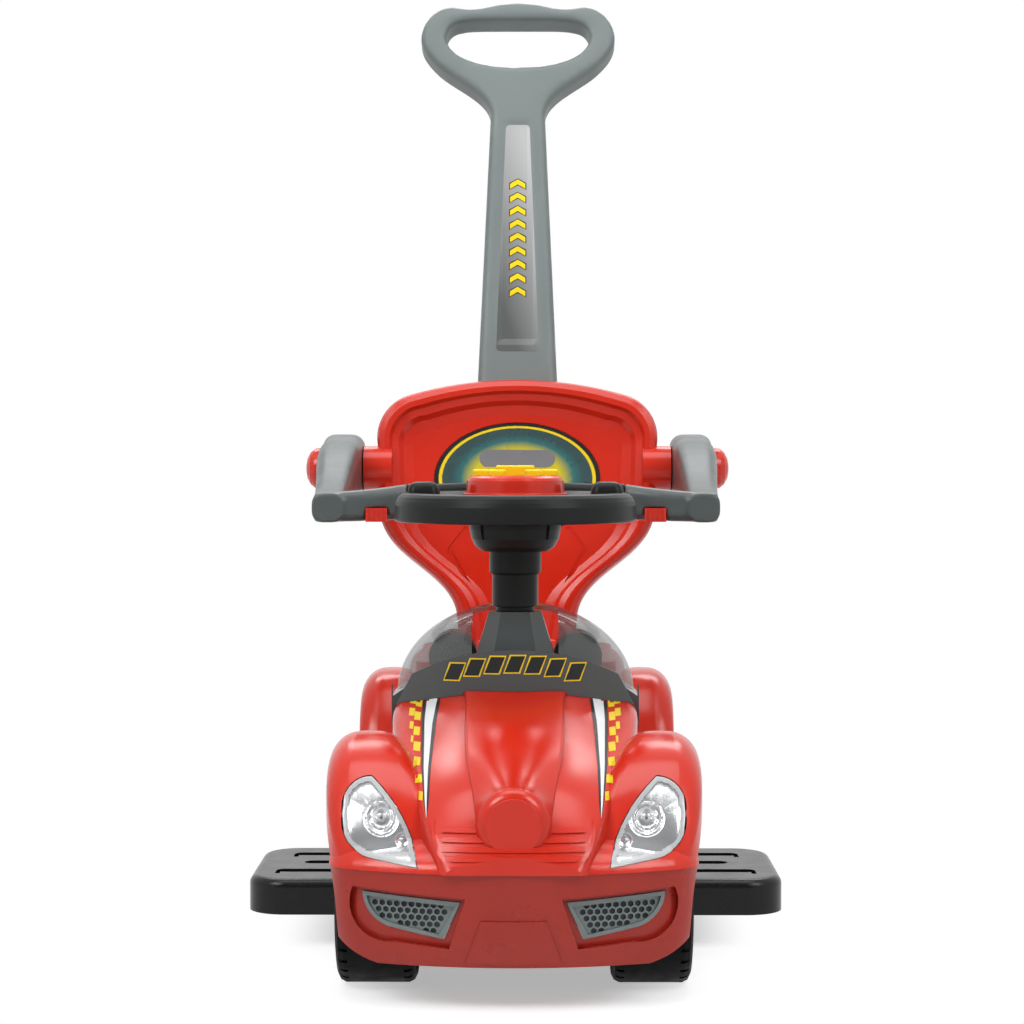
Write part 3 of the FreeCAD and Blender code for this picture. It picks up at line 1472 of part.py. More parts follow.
def drum(radius, front, back, soft):
    """Round nose piece along the car with a soft front edge."""
    axis = Vector(0, 1, 0)
    form = Part.makeCylinder(radius, back - front, Vector(0, at(front), mm.nose_height), axis)
    rim = [edge for edge in form.Edges if edge.BoundBox.YMax < at(front) + 0.1]
    return form.makeFillet(soft, rim)


def make_shell():
    """Thin body shell with wheel arches, lamp openings, seat opening and screw posts."""
    solid = outer_form.fuse([bulge(0), drum(mm.nose_radius, 4, 60, 11), drum(mm.disc_radius, 3.4, 40, 0.4)])
    proud = hull(-2).fuse(apron(-2))
    slats = []
    for step in range(4):
        low = mm.seam_height + 10 + 6.4 * step
        slats.append(box_of((-52, 52), (at(-5), at(40)), (low, low + 3.4)))
    lips = []
    for side in (1, -1):
        mouth = (
            ((58.5, 139), (52.5, 113), (25, 104.5)), ((25, 104.5), (25, 107)),
            ((25, 107), (50.5, 115.5), (57.5, 139)), ((57.5, 139), (58.5, 139)),
        )
        lips.append(prism(mouth, 60, side))
    lip = hull(-1.2).fuse(apron(-1.2))
    solid = solid.fuse([proud.common(slat) for slat in slats] + [lip.common(ridge) for ridge in lips])
    shell = solid.cut(inner_form)
    shell = shell.cut(drum(mm.nose_radius - mm.wall, 4 + mm.wall + 1, 60, 9))
    far = 1000
    shell = shell.cut(box_of((-far, far), (-far, far), (-far, mm.sill_height)))
    shell = shell.cut(box_of((-far, far), (-far, at(mm.bumper_depth + 0.4)), (-far, mm.seam_height)))
    for axle in (mm.front_axle, rear_axle_station):
        for side in (1, -1):
            base = Vector(side * 100, at(axle), mm.wheel_radius)
            arch = Part.makeCylinder(mm.wheel_radius + mm.arch_gap, 80, base, Vector(side, 0, 0))
            shell = shell.cut(arch)
    for side in (1, -1):
        shell = shell.cut(prism(lamp_outline(mm.seat_gap), 110, side))
    gap = mm.seat_gap
    shell = shell.cut(box_of(
        (-mm.tub_width / 2 - gap, mm.tub_width / 2 + gap),
        (at(mm.tub_front) - gap, at(mm.tub_front + mm.tub_length) + gap), (mm.deck_height - 20, far),
    ))
    seat_x, seat_y = ([float(low) - gap, float(high) + gap] for low, high in (flange_x, flange_y))
    shell = shell.cut(box_of(seat_x, seat_y, (float(flange_low) - gap, far)))
    shell = shell.cut(tongue_shape(gap))
    shell = shell.cut(Part.makeCylinder(
        mm.rod_radius + 6, 200, Vector(0, at(mm.column_station), mm.deck_height - 40), Vector(0, 0, 1),
    ))
    for x, y in posts:
        low = float(mid_high) + gap
        post = Part.makeCylinder(5.5, mm.deck_height - 1.5 - low, Vector(x, y, low), Vector(0, 0, 1))
        hole = Part.makeCylinder(mm.screw_radius, 20, Vector(x, y, low - 1), Vector(0, 0, 1))
        shell = shell.fuse(post.common(outer_form)).cut(hole)
    for side in (1, -1):
        low, high = sided(side, 50.4, 64)
        ear = box_of((low, high), (float(pin_line) - 5.5, float(pin_line) + 5.5),
                     (mm.deck_height - 2, float(pin_height)))
        base = Vector(low, float(pin_line), float(pin_height))
        ear = ear.fuse(Part.makeCylinder(5.5, high - low, base, Vector(1, 0, 0)))
        hole = Part.makeCylinder(mm.lid_pin_radius, 40, base - Vector(10, 0, 0), Vector(1, 0, 0))
        shell = shell.fuse(ear).cut(hole)
    shell = shell.removeSplitter()
    return max(shell.Solids, key=lambda s: s.Volume)


keep(formed("shell_form", make_shell()), "body_shell")


def bumper_form(inset):
    """Bumper bow leaning in towards its lower edge, with round lower corners, drawn in by the inset."""
    half = mm.body_width / 2 - 4.5
    low = mm.bumper_bottom + inset
    rows = (
        (low, 8, 12),
        (mm.bumper_bottom + 14, 4, 7),
        (mm.seam_height - 24, 1, 3),
        (mm.seam_height - 0.2, 0, 1.5),
    )
    wires = [nose_wire(height, half - narrow, front, inset) for height, narrow, front in rows]
    side = half - inset
    corner = mm.bumper_corner
    high = mm.seam_height + 20
    shoulder = (side, low + corner)
    bend = (side - 0.8 * corner, low + 0.3 * corner)
    foot = (side - 3 * corner, low)
    sweep = prism((
        ((side, high), shoulder),
        (shoulder, bend, foot),
        (foot, (-foot[0], low)),
        ((-foot[0], low), (-bend[0], bend[1]), (-side, shoulder[1])),
        ((-side, shoulder[1]), (-side, high)),
        ((-side, high), (side, high)),
    ), 200)
    return Part.makeLoft(wires, True).common(sweep)


def make_bumper():
    """Bumper tray with sunken fog openings and a raised middle panel."""
    sunk = mm.fog_depth
    form = bumper_form(0).cut(bumper_form(mm.wall))
    far = 1000
    deep = mm.bumper_depth - 10
    for side in (1, -1):
        well = prism(scoop_outline(mm.wall), deep, side).common(
            bumper_form(1).cut(bumper_form(sunk + mm.wall))
        )
        form = form.fuse(well)
        form = form.cut(prism(scoop_outline(0), deep, side).cut(bumper_form(sunk)))
        form = form.cut(prism(fog_outline(mm.seat_gap), deep, side))
    form = form.cut(box_of((-far, far), (at(mm.bumper_depth), far), (-far, far)))
    arch = mm.wheel_radius + mm.arch_gap
    lever = mm.wheel_track / 2 + mm.wheel_width / 2 - mm.kingpin_offset
    sweep = math.hypot(mm.wheel_radius, lever) + 2
    lock = math.radians(mm.steer_lock)
    ahead = mm.wheel_radius * math.cos(lock) + lever * math.sin(lock) + 2
    for side in (1, -1):
        base = Vector(side * 100, at(mm.front_axle), mm.wheel_radius)
        form = form.cut(Part.makeCylinder(arch, 80, base, Vector(side, 0, 0)))
        turning = Part.makeCylinder(
            sweep, mm.seam_height, Vector(side * mm.kingpin_offset, at(mm.front_axle), 0)
        )
        form = form.cut(turning.common(box_of((-far, far), (at(mm.front_axle - ahead), far), (-far, far))))
    panel_rows = (((-24, 68), (24, 68)), ((24, 68), (35, 36)), ((35, 36), (-35, 36)), ((-35, 36), (-24, 68)))
    panel = prism(panel_rows, 30)
    form = form.fuse(panel.common(bumper_form(-1.5)).cut(bumper_form(0.5)))
    return form.removeSplitter()


keep(formed("bumper_solid", make_bumper()), "front_bumper")


def mirrored(shape):
    """The same piece for the other side of the car."""
    return shape.mirror(Vector(0, 0, 0), Vector(1, 0, 0))


def make_grille():
    """Left fog grille with a rim and blind honeycomb cells, following the bow of the bumper."""
    sunk = mm.fog_depth
    skin = bumper_form(sunk - 1.5).cut(bumper_form(sunk + 3.4))
    plate = prism(fog_outline(0), mm.bumper_depth - 10)
    rim = plate.cut(prism(fog_outline(-3.2), mm.bumper_depth)).common(skin)
    floor = bumper_form(sunk + 2.6)
    inside = plate.common(bumper_form(sunk + 0.8).cut(floor))
    backing = plate.common(floor.cut(bumper_form(sunk + 3.4)))
    inner = prism(fog_outline(-3.8), mm.bumper_depth)
    pitch = 5.4
    reach = 2.4
    cells_cut = []
    for row in range(8):
        for column in range(16):
            u = 34 + pitch * (column + 0.5 * (row % 2))
            v = 54.5 + pitch * 0.866 * row
            if inner.isInside(Vector(u, at(0), v), 0.01, False):
                turns = [math.radians(60 * n + 30) for n in range(7)]
                corners = [Vector(u + reach * math.cos(a), at(-20), v + reach * math.sin(a)) for a in turns]
                cells_cut.append(Part.Face(Part.makePolygon(corners)).extrude(Vector(0, 90, 0)))
    inside = inside.cut(Part.makeCompound(cells_cut))
    return rim.fuse([inside, backing]).removeSplitter()


grille = make_grille()
keep(formed("grille_form_left", grille), "fog_grille_left")
keep(formed("grille_form_right", mirrored(grille)), "fog_grille_right")


def lamp_layer(outer_inset, inner_inset, grow):
    """Slice of the left fender front between two insets inside a grown lamp outline."""
    fat = apron(outer_inset).fuse(fender(1, mm.front_axle, FRONT_FENDER, outer_inset))
    thin = apron(inner_inset).fuse(fender(1, mm.front_axle, FRONT_FENDER, inner_inset))
    layer = prism(lamp_outline(grow), 110).common(fat).cut(thin)
    layer = layer.cut(box_of((-1000, 1000), (-1000, 1000), (-1000, mm.seam_height + 1)))
    return max(layer.Solids, key=lambda s: s.Volume)


lens = lamp_layer(-0.8, 2.2, 0)
reflector = lamp_layer(mm.wall + 0.4, mm.wall + 2.6, 3)
keep(formed("lens_form_left", lens), "headlamp_lens_left")
keep(formed("lens_form_right", mirrored(lens)), "headlamp_lens_right")
keep(formed("reflector_form_left", reflector), "headlamp_reflector_left")
keep(formed("reflector_form_right", mirrored(reflector)), "headlamp_reflector_right")


def crown(drop):
    """Long cylinder whose top is the cowl's crown, lowered by the drop."""
    base = Vector(0, at(0), mm.cowl_top - mm.cowl_crown)
    return Part.makeCylinder(mm.cowl_crown - drop, mm.overall_length, base, Vector(0, 1, 0))


def make_cowl():
    """Dash saddle over the hood end: crowned lip, deck, two pods and the column shroud."""
    half = mm.waist_width / 2 * HULL[5][1] + 2.4
    bow = 144
    sink = mm.cowl_top - mm.cowl_deck
    centre = Vector(0, at(mm.cowl_front) + bow, 0)
    low = mm.deck_height - 36
    round_front = Part.makeCylinder(bow, mm.cowl_top - low, centre + Vector(0, 0, low))
    form = round_front.common(box_of((-half, half), (at(mm.cowl_front) - 1, at(mm.cowl_back)), (0, 400)))
    form = form.common(crown(0))
    room = Part.makeCylinder(bow - 4, 200, centre + Vector(0, 0, low))
    form = form.cut(room.cut(crown(sink)))
    tip = mm.cowl_front + 70
    corners = [
        Vector(-200, at(mm.cowl_front - 20), mm.deck_height - 12), Vector(-200, at(tip), low + 1),
        Vector(-200, at(mm.cowl_back + 5), mm.deck_height - 8), Vector(-200, at(mm.cowl_back + 5), 0),
        Vector(-200, at(mm.cowl_front - 20), 0),
    ]
    below = Part.Face(Part.makePolygon(corners + corners[:1])).extrude(Vector(400, 0, 0))
    form = form.cut(below)
    ends = (half - 18, mm.cowl_top - 20), (half - 4.3, mm.cowl_top - 46), (half + 0.5, low + 6)
    past = ((half + 50, low + 6), (half + 50, mm.cowl_top + 20), (half - 18, mm.cowl_top + 20))
    corner = list(zip(ends + past, ends[1:] + past + ends[:1]))
    for side in (1, -1):
        form = form.cut(prism(corner, mm.cowl_front + 45, side))
    form = form.cut(outside_clear)
    under = Part.makeCylinder(bow - 8, 200, centre + Vector(0, 0, mm.deck_height)).common(
        crown(sink + mm.wall)
    )
    form = form.cut(under.common(box_of((-half + 10, half - 10), (at(0), at(mm.cowl_back - 4)), (0, 400))))
    for side in (1, -1):
        base = Vector(side * 51, at(mm.cowl_back - 42), mm.cowl_deck - 3)
        pod = Part.makeCylinder(20, 42, base, Vector(0, 1, 0))
        form = form.fuse(pod.cut(crown(sink + 1)))

    def ring(half_width, height):
        cut = half_width * 0.45
        y = at(mm.column_station)
        places = []
        for u, v in ((1, 0), (0, 1), (-1, 0), (0, -1)):
            for s in (-1, 1):
                du = u * half_width - s * v * (half_width - cut)
                dv = v * half_width + s * u * (half_width - cut)
                places.append(Vector(du, y + dv, height))
        return Part.makePolygon(places + places[:1])

    shroud = Part.makeLoft([ring(34, mm.cowl_deck - 6), ring(21, mm.shroud_top)], True, True)
    form = form.fuse(shroud)
    hollow = Part.makeLoft([ring(30, mm.cowl_deck - 7), ring(17.5, mm.shroud_top - 8)], True, True)
    form = form.cut(hollow)
    axis = Vector(0, at(mm.column_station), mm.deck_height)
    form = form.cut(Part.makeCylinder(mm.rod_radius + 7, 100, axis))
    return form.removeSplitter()


outside_clear = outside(-mm.seat_gap).fuse(bulge(-mm.seat_gap))
keep(formed("cowl_form", make_cowl()), "cowl")

bush_low = cell.shroud_top - 8
ring_out = rod("bush_outer", "z", cell.rod_radius + 7, bush_low, cell.shroud_top, x=0, y=column_line)
ring_in = rod(
    "bush_inner", "z", cell.rod_radius + cell.running_gap, bush_low - 1, cell.shroud_top + 1,
    x=0, y=column_line,
)
keep(less("bush_solid", ring_out, ring_in), "column_bush")


def dome(name, grow):
    """Ellipsoid that the windscreen is cut from."""
    item = doc.addObject("Part::Ellipsoid", name)
    item.Angle1 = -90
    item.Angle2 = 90
    item.Angle3 = 360
    item.setExpression("Radius1", spell(cell.screen_height + grow))
    item.setExpression("Radius2", spell(cell.screen_half + grow))
    item.setExpression("Radius3", spell(cell.screen_depth + grow))
    item.setExpression("Placement.Base.y", spell(along(cell.cowl_back - 12)))
    item.setExpression("Placement.Base.z", spell(cell.shroud_top - cell.screen_height + 4.5))
    return item


screen_shell = less("screen_shell", dome("screen_outer", 0), dome("screen_inner", -cell.screen_thick))
behind = block("screen_behind", (-cell.screen_half * 2, cell.screen_half * 2),
               (along(cell.cowl_back - 12), along(cell.cowl_back + 200)), (Size(0, "(0)"), cell.cowl_top * 2))
under = rod("screen_under", "y", cell.cowl_crown - cell.cowl_top + cell.cowl_deck + cell.seat_gap,
            along(Size(0, "(0)")), along(cell.cowl_back + 200), z=cell.cowl_top - cell.cowl_crown)
notch = block(
    "screen_notch", (Size(-35, "(-35)"), 35),
    (along(cell.cowl_front), along(cell.column_station + 35)),
    (cell.cowl_deck - 5, cell.cowl_top * 2),
)
screen = less("screen_solid", screen_shell, behind, under, notch)
doc.recompute()
keep(screen, "windscreen")

doc.recompute()
os.makedirs("parts", exist_ok=True)
for item in doc.Objects:
    bad = [word for word in item.State if word in ("Invalid", "Error")]
    if bad:
        raise RuntimeError(f"{item.Name} did not build: {bad}")
for node in nodes:
    shape = node.Shape
    if shape.isNull() or not shape.isValid():
        raise RuntimeError(f"{node.Label} has no sound shape")
    shape.exportStep(f"parts/{node.Label}.step")
print(len(nodes), "nodes written")
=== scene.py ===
import json
import math

import bpy
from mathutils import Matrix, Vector
from mathutils.bvhtree import BVHTree


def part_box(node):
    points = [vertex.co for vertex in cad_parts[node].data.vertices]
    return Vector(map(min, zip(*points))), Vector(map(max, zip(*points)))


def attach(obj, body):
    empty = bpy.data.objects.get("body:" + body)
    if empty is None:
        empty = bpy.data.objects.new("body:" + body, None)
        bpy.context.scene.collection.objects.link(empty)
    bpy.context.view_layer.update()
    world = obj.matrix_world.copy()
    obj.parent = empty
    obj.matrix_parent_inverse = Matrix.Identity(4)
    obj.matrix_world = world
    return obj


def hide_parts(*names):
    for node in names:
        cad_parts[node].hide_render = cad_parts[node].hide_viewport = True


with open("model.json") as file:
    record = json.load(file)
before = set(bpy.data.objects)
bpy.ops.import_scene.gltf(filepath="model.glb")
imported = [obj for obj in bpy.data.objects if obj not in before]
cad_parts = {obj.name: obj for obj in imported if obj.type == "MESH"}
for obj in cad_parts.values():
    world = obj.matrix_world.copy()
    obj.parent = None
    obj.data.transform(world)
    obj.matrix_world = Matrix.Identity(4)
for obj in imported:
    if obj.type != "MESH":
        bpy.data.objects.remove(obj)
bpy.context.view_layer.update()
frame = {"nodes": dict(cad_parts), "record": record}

bl_info = {
    "name": "Push Car Looks",
    "version": (1, 0, 0),
    "blender": (4, 5, 0),
    "location": "View3D > Sidebar > Push Car",
    "description": "Finishes, stickers and lamps of a moulded push car in a pale studio",
    "category": "Object",
}

NODES = frame["nodes"]
HANDS = (("left", 1), ("right", -1))
MM = 0.001


# Colours and sizes that a user would change

def colour(name, tint, note):
    """A colour setting with its default."""
    return bpy.props.FloatVectorProperty(
        name=name, description=note, subtype="COLOR", size=3, min=0.0, max=1.0, default=tint)


def length(name, amount, note):
    """A length setting with its default, in metres."""
    return bpy.props.FloatProperty(
        name=name, description=note, subtype="DISTANCE", unit="LENGTH", default=amount)


def angle(name, degrees, note):
    """An angle setting with its default, in degrees."""
    return bpy.props.FloatProperty(
        name=name, description=note, subtype="ANGLE", default=math.radians(degrees))


class PushCarColours(bpy.types.PropertyGroup):
    """Colours of the mouldings and stickers."""

    red: colour("Red", (0.61, 0.021, 0.006), "Body, backrest and caps")
    # The bumper's tint is the body red darkened as painted shade, for its face turned down out of the light
    painted_shade_bumper: colour("Bumper red", (0.36, 0.022, 0.012), "Bumper, body red darkened as painted shade")
    handle: colour("Handle grey", (0.165, 0.195, 0.192), "Push handle")
    grey: colour("Grey", (0.076, 0.089, 0.089), "Guard arms")
    cowl: colour("Cowl grey", (0.066, 0.073, 0.073), "Cowl and column shroud")
    dark: colour("Dark grey", (0.012, 0.0135, 0.013), "Steering wheel and column")
    black: colour("Black", (0.006, 0.0065, 0.0065), "Footrests and chassis")
    tyre: colour("Tyre black", (0.0035, 0.0035, 0.0035), "Tyres")
    silver: colour("Silver", (0.50, 0.51, 0.52), "Hub caps")
    yellow: colour("Yellow", (0.84, 0.62, 0.006), "Buttons and sticker print")
    paper: colour("Sticker white", (0.80, 0.81, 0.83), "White sticker film")
    teal: colour("Teal", (0.030, 0.150, 0.150), "Badge field")


class PushCarStage(bpy.types.PropertyGroup):
    """Camera and floor."""

    eye: bpy.props.FloatVectorProperty(
        name="Camera", description="Place of the camera", subtype="TRANSLATION", unit="LENGTH",
        default=(0.0112, -2.2405, 0.42))
    focal: bpy.props.FloatProperty(name="Focal length", description="In millimetres", default=90.67)
    pitch: angle("Pitch", 1.72, "How far the camera looks down")
    yaw: angle("Yaw", 0.38, "How far the camera looks to its left")
    shade_half: length("Shadow half width", 0.205, "Where the floor turns white beside the car")
    shade_long: length("Shadow half length", 0.56, "Where the floor turns white before the car")


# Finishes

WHITE = (1, 1, 1, 1)
NOISE_LOW, NOISE_HIGH = 0.3, 0.7
MOULD_GRAIN = 0.00002
FILM_GRAIN = 0.00001


def finish(name):
    """A new material, its node tree and its surface shader."""
    material = bpy.data.materials.new(name)
    material.use_nodes = True
    return material, material.node_tree, material.node_tree.nodes["Principled BSDF"]


def clouds(tree, scale, detail=3.0):
    """Noise in the object's own coordinates."""
    place = tree.nodes.new("ShaderNodeTexCoord")
    noise = tree.nodes.new("ShaderNodeTexNoise")
    noise.inputs["Scale"].default_value = scale
    noise.inputs["Detail"].default_value = detail
    tree.links.new(place.outputs["Object"], noise.inputs["Vector"])
    return noise.outputs["Fac"]


def spread(tree, source, low, high):
    """A value that wanders between low and high with the noise."""
    node = tree.nodes.new("ShaderNodeMapRange")
    node.inputs["From Min"].default_value = NOISE_LOW
    node.inputs["From Max"].default_value = NOISE_HIGH
    node.inputs["To Min"].default_value = low
    node.inputs["To Max"].default_value = high
    tree.links.new(source, node.inputs["Value"])
    return node.outputs["Result"]


def shades(tree, source, first, second):
    """A colour that wanders between two shades with the noise."""
    ramp = tree.nodes.new("ShaderNodeValToRGB")
    ramp.color_ramp.elements[0].position = NOISE_LOW
    ramp.color_ramp.elements[0].color = (*first, 1.0)
    ramp.color_ramp.elements[1].position = NOISE_HIGH
    ramp.color_ramp.elements[1].color = (*second, 1.0)
    tree.links.new(source, ramp.inputs["Fac"])
    return ramp.outputs["Color"]


def grained(tree, surface, height, depth, strength):
    """A bump of that depth under the surface shader."""
    bump = tree.nodes.new("ShaderNodeBump")
    bump.inputs["Strength"].default_value = strength
    bump.inputs["Distance"].default_value = depth
    tree.links.new(height, bump.inputs["Height"])
    tree.links.new(bump.outputs["Normal"], surface.inputs["Normal"])


def moulded(name, tint, gloss, grain=MOULD_GRAIN, shine=0.35):
    """Moulded plastic: faint clouds in its colour, smears in its gloss and a fine mould grain."""
    material, tree, surface = finish(name)
    deep = tuple(c * 0.93 for c in tint)
    pale = tuple(min(c * 1.05 + 0.002, 1.0) for c in tint)
    tree.links.new(shades(tree, clouds(tree, 11), deep, pale), surface.inputs["Base Color"])
    tree.links.new(spread(tree, clouds(tree, 45, 6), gloss * 0.88, gloss * 1.15), surface.inputs["Roughness"])
    grained(tree, surface, clouds(tree, 850, 2), grain, 0.35)
    surface.inputs["Specular IOR Level"].default_value = shine
    return material


def metal(name, tint, gloss, streak):
    """Metal with fine streaks in its gloss."""
    material, tree, surface = finish(name)
    pale = tuple(min(c * 1.08, 1.0) for c in tint)
    tree.links.new(shades(tree, clouds(tree, 60), tint, pale), surface.inputs["Base Color"])
    rough = spread(tree, clouds(tree, streak, 4), gloss * 0.7, gloss * 1.4)
    tree.links.new(rough, surface.inputs["Roughness"])
    surface.inputs["Metallic"].default_value = 1.0
    return material


def see_through(name, tint, cover, gloss):
    """Clear or smoked plastic that lets part of the light through."""
    material, tree, surface = finish(name)
    pale = tuple(min(c * 1.1, 1.0) for c in tint)
    tree.links.new(shades(tree, clouds(tree, 20), tint, pale), surface.inputs["Base Color"])
    tree.links.new(spread(tree, clouds(tree, 70, 5), gloss * 0.8, gloss * 1.3), surface.inputs["Roughness"])
    surface.inputs["Alpha"].default_value = cover
    return material


def tyre_plastic(name, tint):
    """Blown tyre plastic: dull, dark and coarser in its grain."""
    material, tree, surface = finish(name)
    deep = tuple(c * 0.75 for c in tint)
    pale = tuple(c * 1.35 for c in tint)
    tree.links.new(shades(tree, clouds(tree, 25, 5), deep, pale), surface.inputs["Base Color"])
    tree.links.new(spread(tree, clouds(tree, 90, 6), 0.46, 0.66), surface.inputs["Roughness"])
    grained(tree, surface, clouds(tree, 420, 4), 0.0002, 0.6)
    surface.inputs["Specular IOR Level"].default_value = 0.08
    return material


def badge_print(name, tint):
    """Printed oval: black edge, thin yellow ring, teal field and a yellow glow in the middle."""
    material, tree, surface = finish(name)
    place = tree.nodes.new("ShaderNodeTexCoord")
    centre = tree.nodes.new("ShaderNodeMapping")
    centre.vector_type = "TEXTURE"
    centre.inputs["Location"].default_value = (0, 0, BADGE_MIDDLE * MM)
    centre.inputs["Scale"].default_value = (BADGE_HALF * MM, 1, BADGE_RISE * MM)
    flat = tree.nodes.new("ShaderNodeVectorMath")
    flat.operation = "MULTIPLY"
    flat.inputs[1].default_value = (1, 0, 1)
    size = tree.nodes.new("ShaderNodeVectorMath")
    size.operation = "LENGTH"
    ramp = tree.nodes.new("ShaderNodeValToRGB")
    black, ring = (0.012, 0.013, 0.014, 1), (*tint.yellow, 1)
    field, glow = (*tint.teal, 1), (0.62, 0.52, 0.01, 1)
    edge = (0.035, 0.075, 0.078, 1)
    stops = (
        (0.0, glow), (0.52, glow), (0.68, field), (0.80, edge), (0.905, edge), (0.91, ring), (0.945, ring),
        (0.95, black), (1.0, black),
    )
    marks = ramp.color_ramp.elements
    while len(marks) < len(stops):
        marks.new(0.5)
    for mark, (share, shade) in zip(marks, stops):
        mark.position = share
        mark.color = shade
    tree.links.new(place.outputs["Object"], centre.inputs["Vector"])
    tree.links.new(centre.outputs["Vector"], flat.inputs[0])
    tree.links.new(flat.outputs["Vector"], size.inputs[0])
    tree.links.new(size.outputs["Value"], ramp.inputs["Fac"])
    tree.links.new(ramp.outputs["Color"], surface.inputs["Base Color"])
    tree.links.new(spread(tree, clouds(tree, 45, 6), 0.22, 0.34), surface.inputs["Roughness"])
    return material


def label_print(name):
    """Printed label that shades slantwise from pale at the top to dark at the foot."""
    material, tree, surface = finish(name)
    place = tree.nodes.new("ShaderNodeTexCoord")
    slant = tree.nodes.new("ShaderNodeVectorMath")
    slant.operation = "DOT_PRODUCT"
    slant.inputs[1].default_value = (LABEL_SLANT, 0, 1)
    tree.links.new(place.outputs["Object"], slant.inputs[0])
    share = tree.nodes.new("ShaderNodeMapRange")
    share.inputs["From Min"].default_value = LABEL[0][1] * MM
    share.inputs["From Max"].default_value = LABEL[2][1] * MM
    tree.links.new(slant.outputs["Value"], share.inputs["Value"])
    ramp = tree.nodes.new("ShaderNodeValToRGB")
    marks = ramp.color_ramp.elements
    marks[0].position, marks[0].color = 0.0, (0.085, 0.092, 0.092, 1)
    marks[1].position, marks[1].color = 1.0, (0.42, 0.425, 0.425, 1)
    tree.links.new(share.outputs["Result"], ramp.inputs["Fac"])
    tree.links.new(ramp.outputs["Color"], surface.inputs["Base Color"])
    tree.links.new(spread(tree, clouds(tree, 45, 6), 0.28, 0.34), surface.inputs["Roughness"])
    return material


def paint(name, material):
    """Gives a CAD node its finish."""
    item = NODES[name]
    item.data.materials.clear()
    item.data.materials.append(material)


# Modelling helpers

# Sheets start flat at FRONT, ahead of the car, and are laid back on it. Lengths in metres.
FRONT = -0.6
UNMOVED = 1e-6
CUT_SLACK = 1e-7
SEAM = 0.00002
CAD_SEAM = 0.000002
FIRST_LIFT = 0.00005
SECOND_LIFT = 0.00020
FILM = 0.00015
FILM_CELL = 0.002
# Edges that turn more than this many degrees stay sharp.
SHARP = 40
BOWL_SHARP = 50
FINE_SHARP = 30
SOFT_SHARP = 60


def nothing_selected():
    """Leaves nothing selected, so the next operator acts on one piece alone."""
    bpy.ops.object.select_all(action="DESELECT")


def only(item):
    """Selects one piece alone and makes it active."""
    nothing_selected()
    item.select_set(True)
    bpy.context.view_layer.objects.active = item


def edit(item):
    """Enters edit mode on one piece with all of it selected."""
    only(item)
    bpy.ops.object.mode_set(mode="EDIT")
    bpy.ops.mesh.select_all(action="SELECT")


def edit_faces(item, chosen):
    """Enters edit mode on one piece with only the chosen faces selected."""
    edit(item)
    bpy.ops.mesh.select_mode(type="FACE")
    bpy.ops.mesh.select_all(action="DESELECT")
    done()
    for face in item.data.polygons:
        face.select = chosen(face)
    bpy.ops.object.mode_set(mode="EDIT")


def done():
    """Back to object mode."""
    bpy.ops.object.mode_set(mode="OBJECT")


def apply_all(item):
    """Applies a piece's modifiers in order."""
    only(item)
    for step in list(item.modifiers):
        bpy.ops.object.modifier_apply(modifier=step.name)


def joined(name, items):
    """Joins pieces to one and merges the seams."""
    nothing_selected()
    for item in items:
        item.select_set(True)
    bpy.context.view_layer.objects.active = items[0]
    if len(items) > 1:
        bpy.ops.object.join()
    whole = bpy.context.active_object
    whole.name = name
    edit(whole)
    bpy.ops.mesh.remove_doubles(threshold=SEAM)
    done()
    return whole


def looks_front(face):
    """Whether a face looks to the front of the car."""
    return face.normal.y < -0.5


def facing(corners):
    """The corners in the turn that goes round the outline to the left."""
    area = sum(a[0] * b[1] - b[0] * a[1] for a, b in zip(corners, corners[1:] + corners[:1]))
    return corners if area > 0 else corners[::-1]


def sheet_of(corners, cell):
    """A flat sheet in the front view, cut from a fine grid along a convex outline in millimetres."""
    corners = facing([(x * MM, z * MM) for x, z in corners])
    low_x, high_x = min(c[0] for c in corners), max(c[0] for c in corners)
    low_z, high_z = min(c[1] for c in corners), max(c[1] for c in corners)
    wide, tall = high_x - low_x, high_z - low_z
    nothing_selected()
    bpy.ops.mesh.primitive_grid_add(
        x_subdivisions=max(1, round(wide / cell)), y_subdivisions=max(1, round(tall / cell)), size=1,
        location=((low_x + high_x) / 2, FRONT, (low_z + high_z) / 2), rotation=(math.pi / 2, 0, 0))
    item = bpy.context.active_object
    item.scale = (wide, tall, 1)
    bpy.ops.object.transform_apply(location=True, rotation=True, scale=True)
    edit(item)
    for a, b in zip(corners, corners[1:] + corners[:1]):
        bpy.ops.mesh.select_all(action="SELECT")
        bpy.ops.mesh.bisect(
            plane_co=(a[0], FRONT, a[1]), plane_no=(b[1] - a[1], 0, a[0] - b[0]), clear_outer=True,
            threshold=CUT_SLACK)
    done()
    return item


def walled(item, thick, side):
    """Gives a sheet its thickness, before it (1) or behind it (-1)."""
    wall = item.modifiers.new("wall", "SOLIDIFY")
    wall.thickness = thick
    wall.offset = side
    apply_all(item)


def drape(item, target, lift, thick, last=None):
    """Lays a sheet back on a surface, up to the last place along the car, and gives it its thickness."""
    lay = item.modifiers.new("lay", "SHRINKWRAP")
    lay.target = target
    lay.wrap_method = "PROJECT"
    lay.wrap_mode = "ABOVE_SURFACE"
    lay.use_project_y = True
    lay.use_positive_direction = True
    lay.use_negative_direction = False
    lay.offset = lift
    apply_all(item)
    if any(abs(point.co.y - FRONT) < UNMOVED for point in item.data.vertices):
        raise RuntimeError(f"{item.name} reaches past {target.name}")
    if last:
        edit_faces(item, lambda face: face.center.y > last(face.center.x))
        bpy.ops.mesh.delete(type="FACE")
        done()
    if thick:
        walled(item, thick, 1)


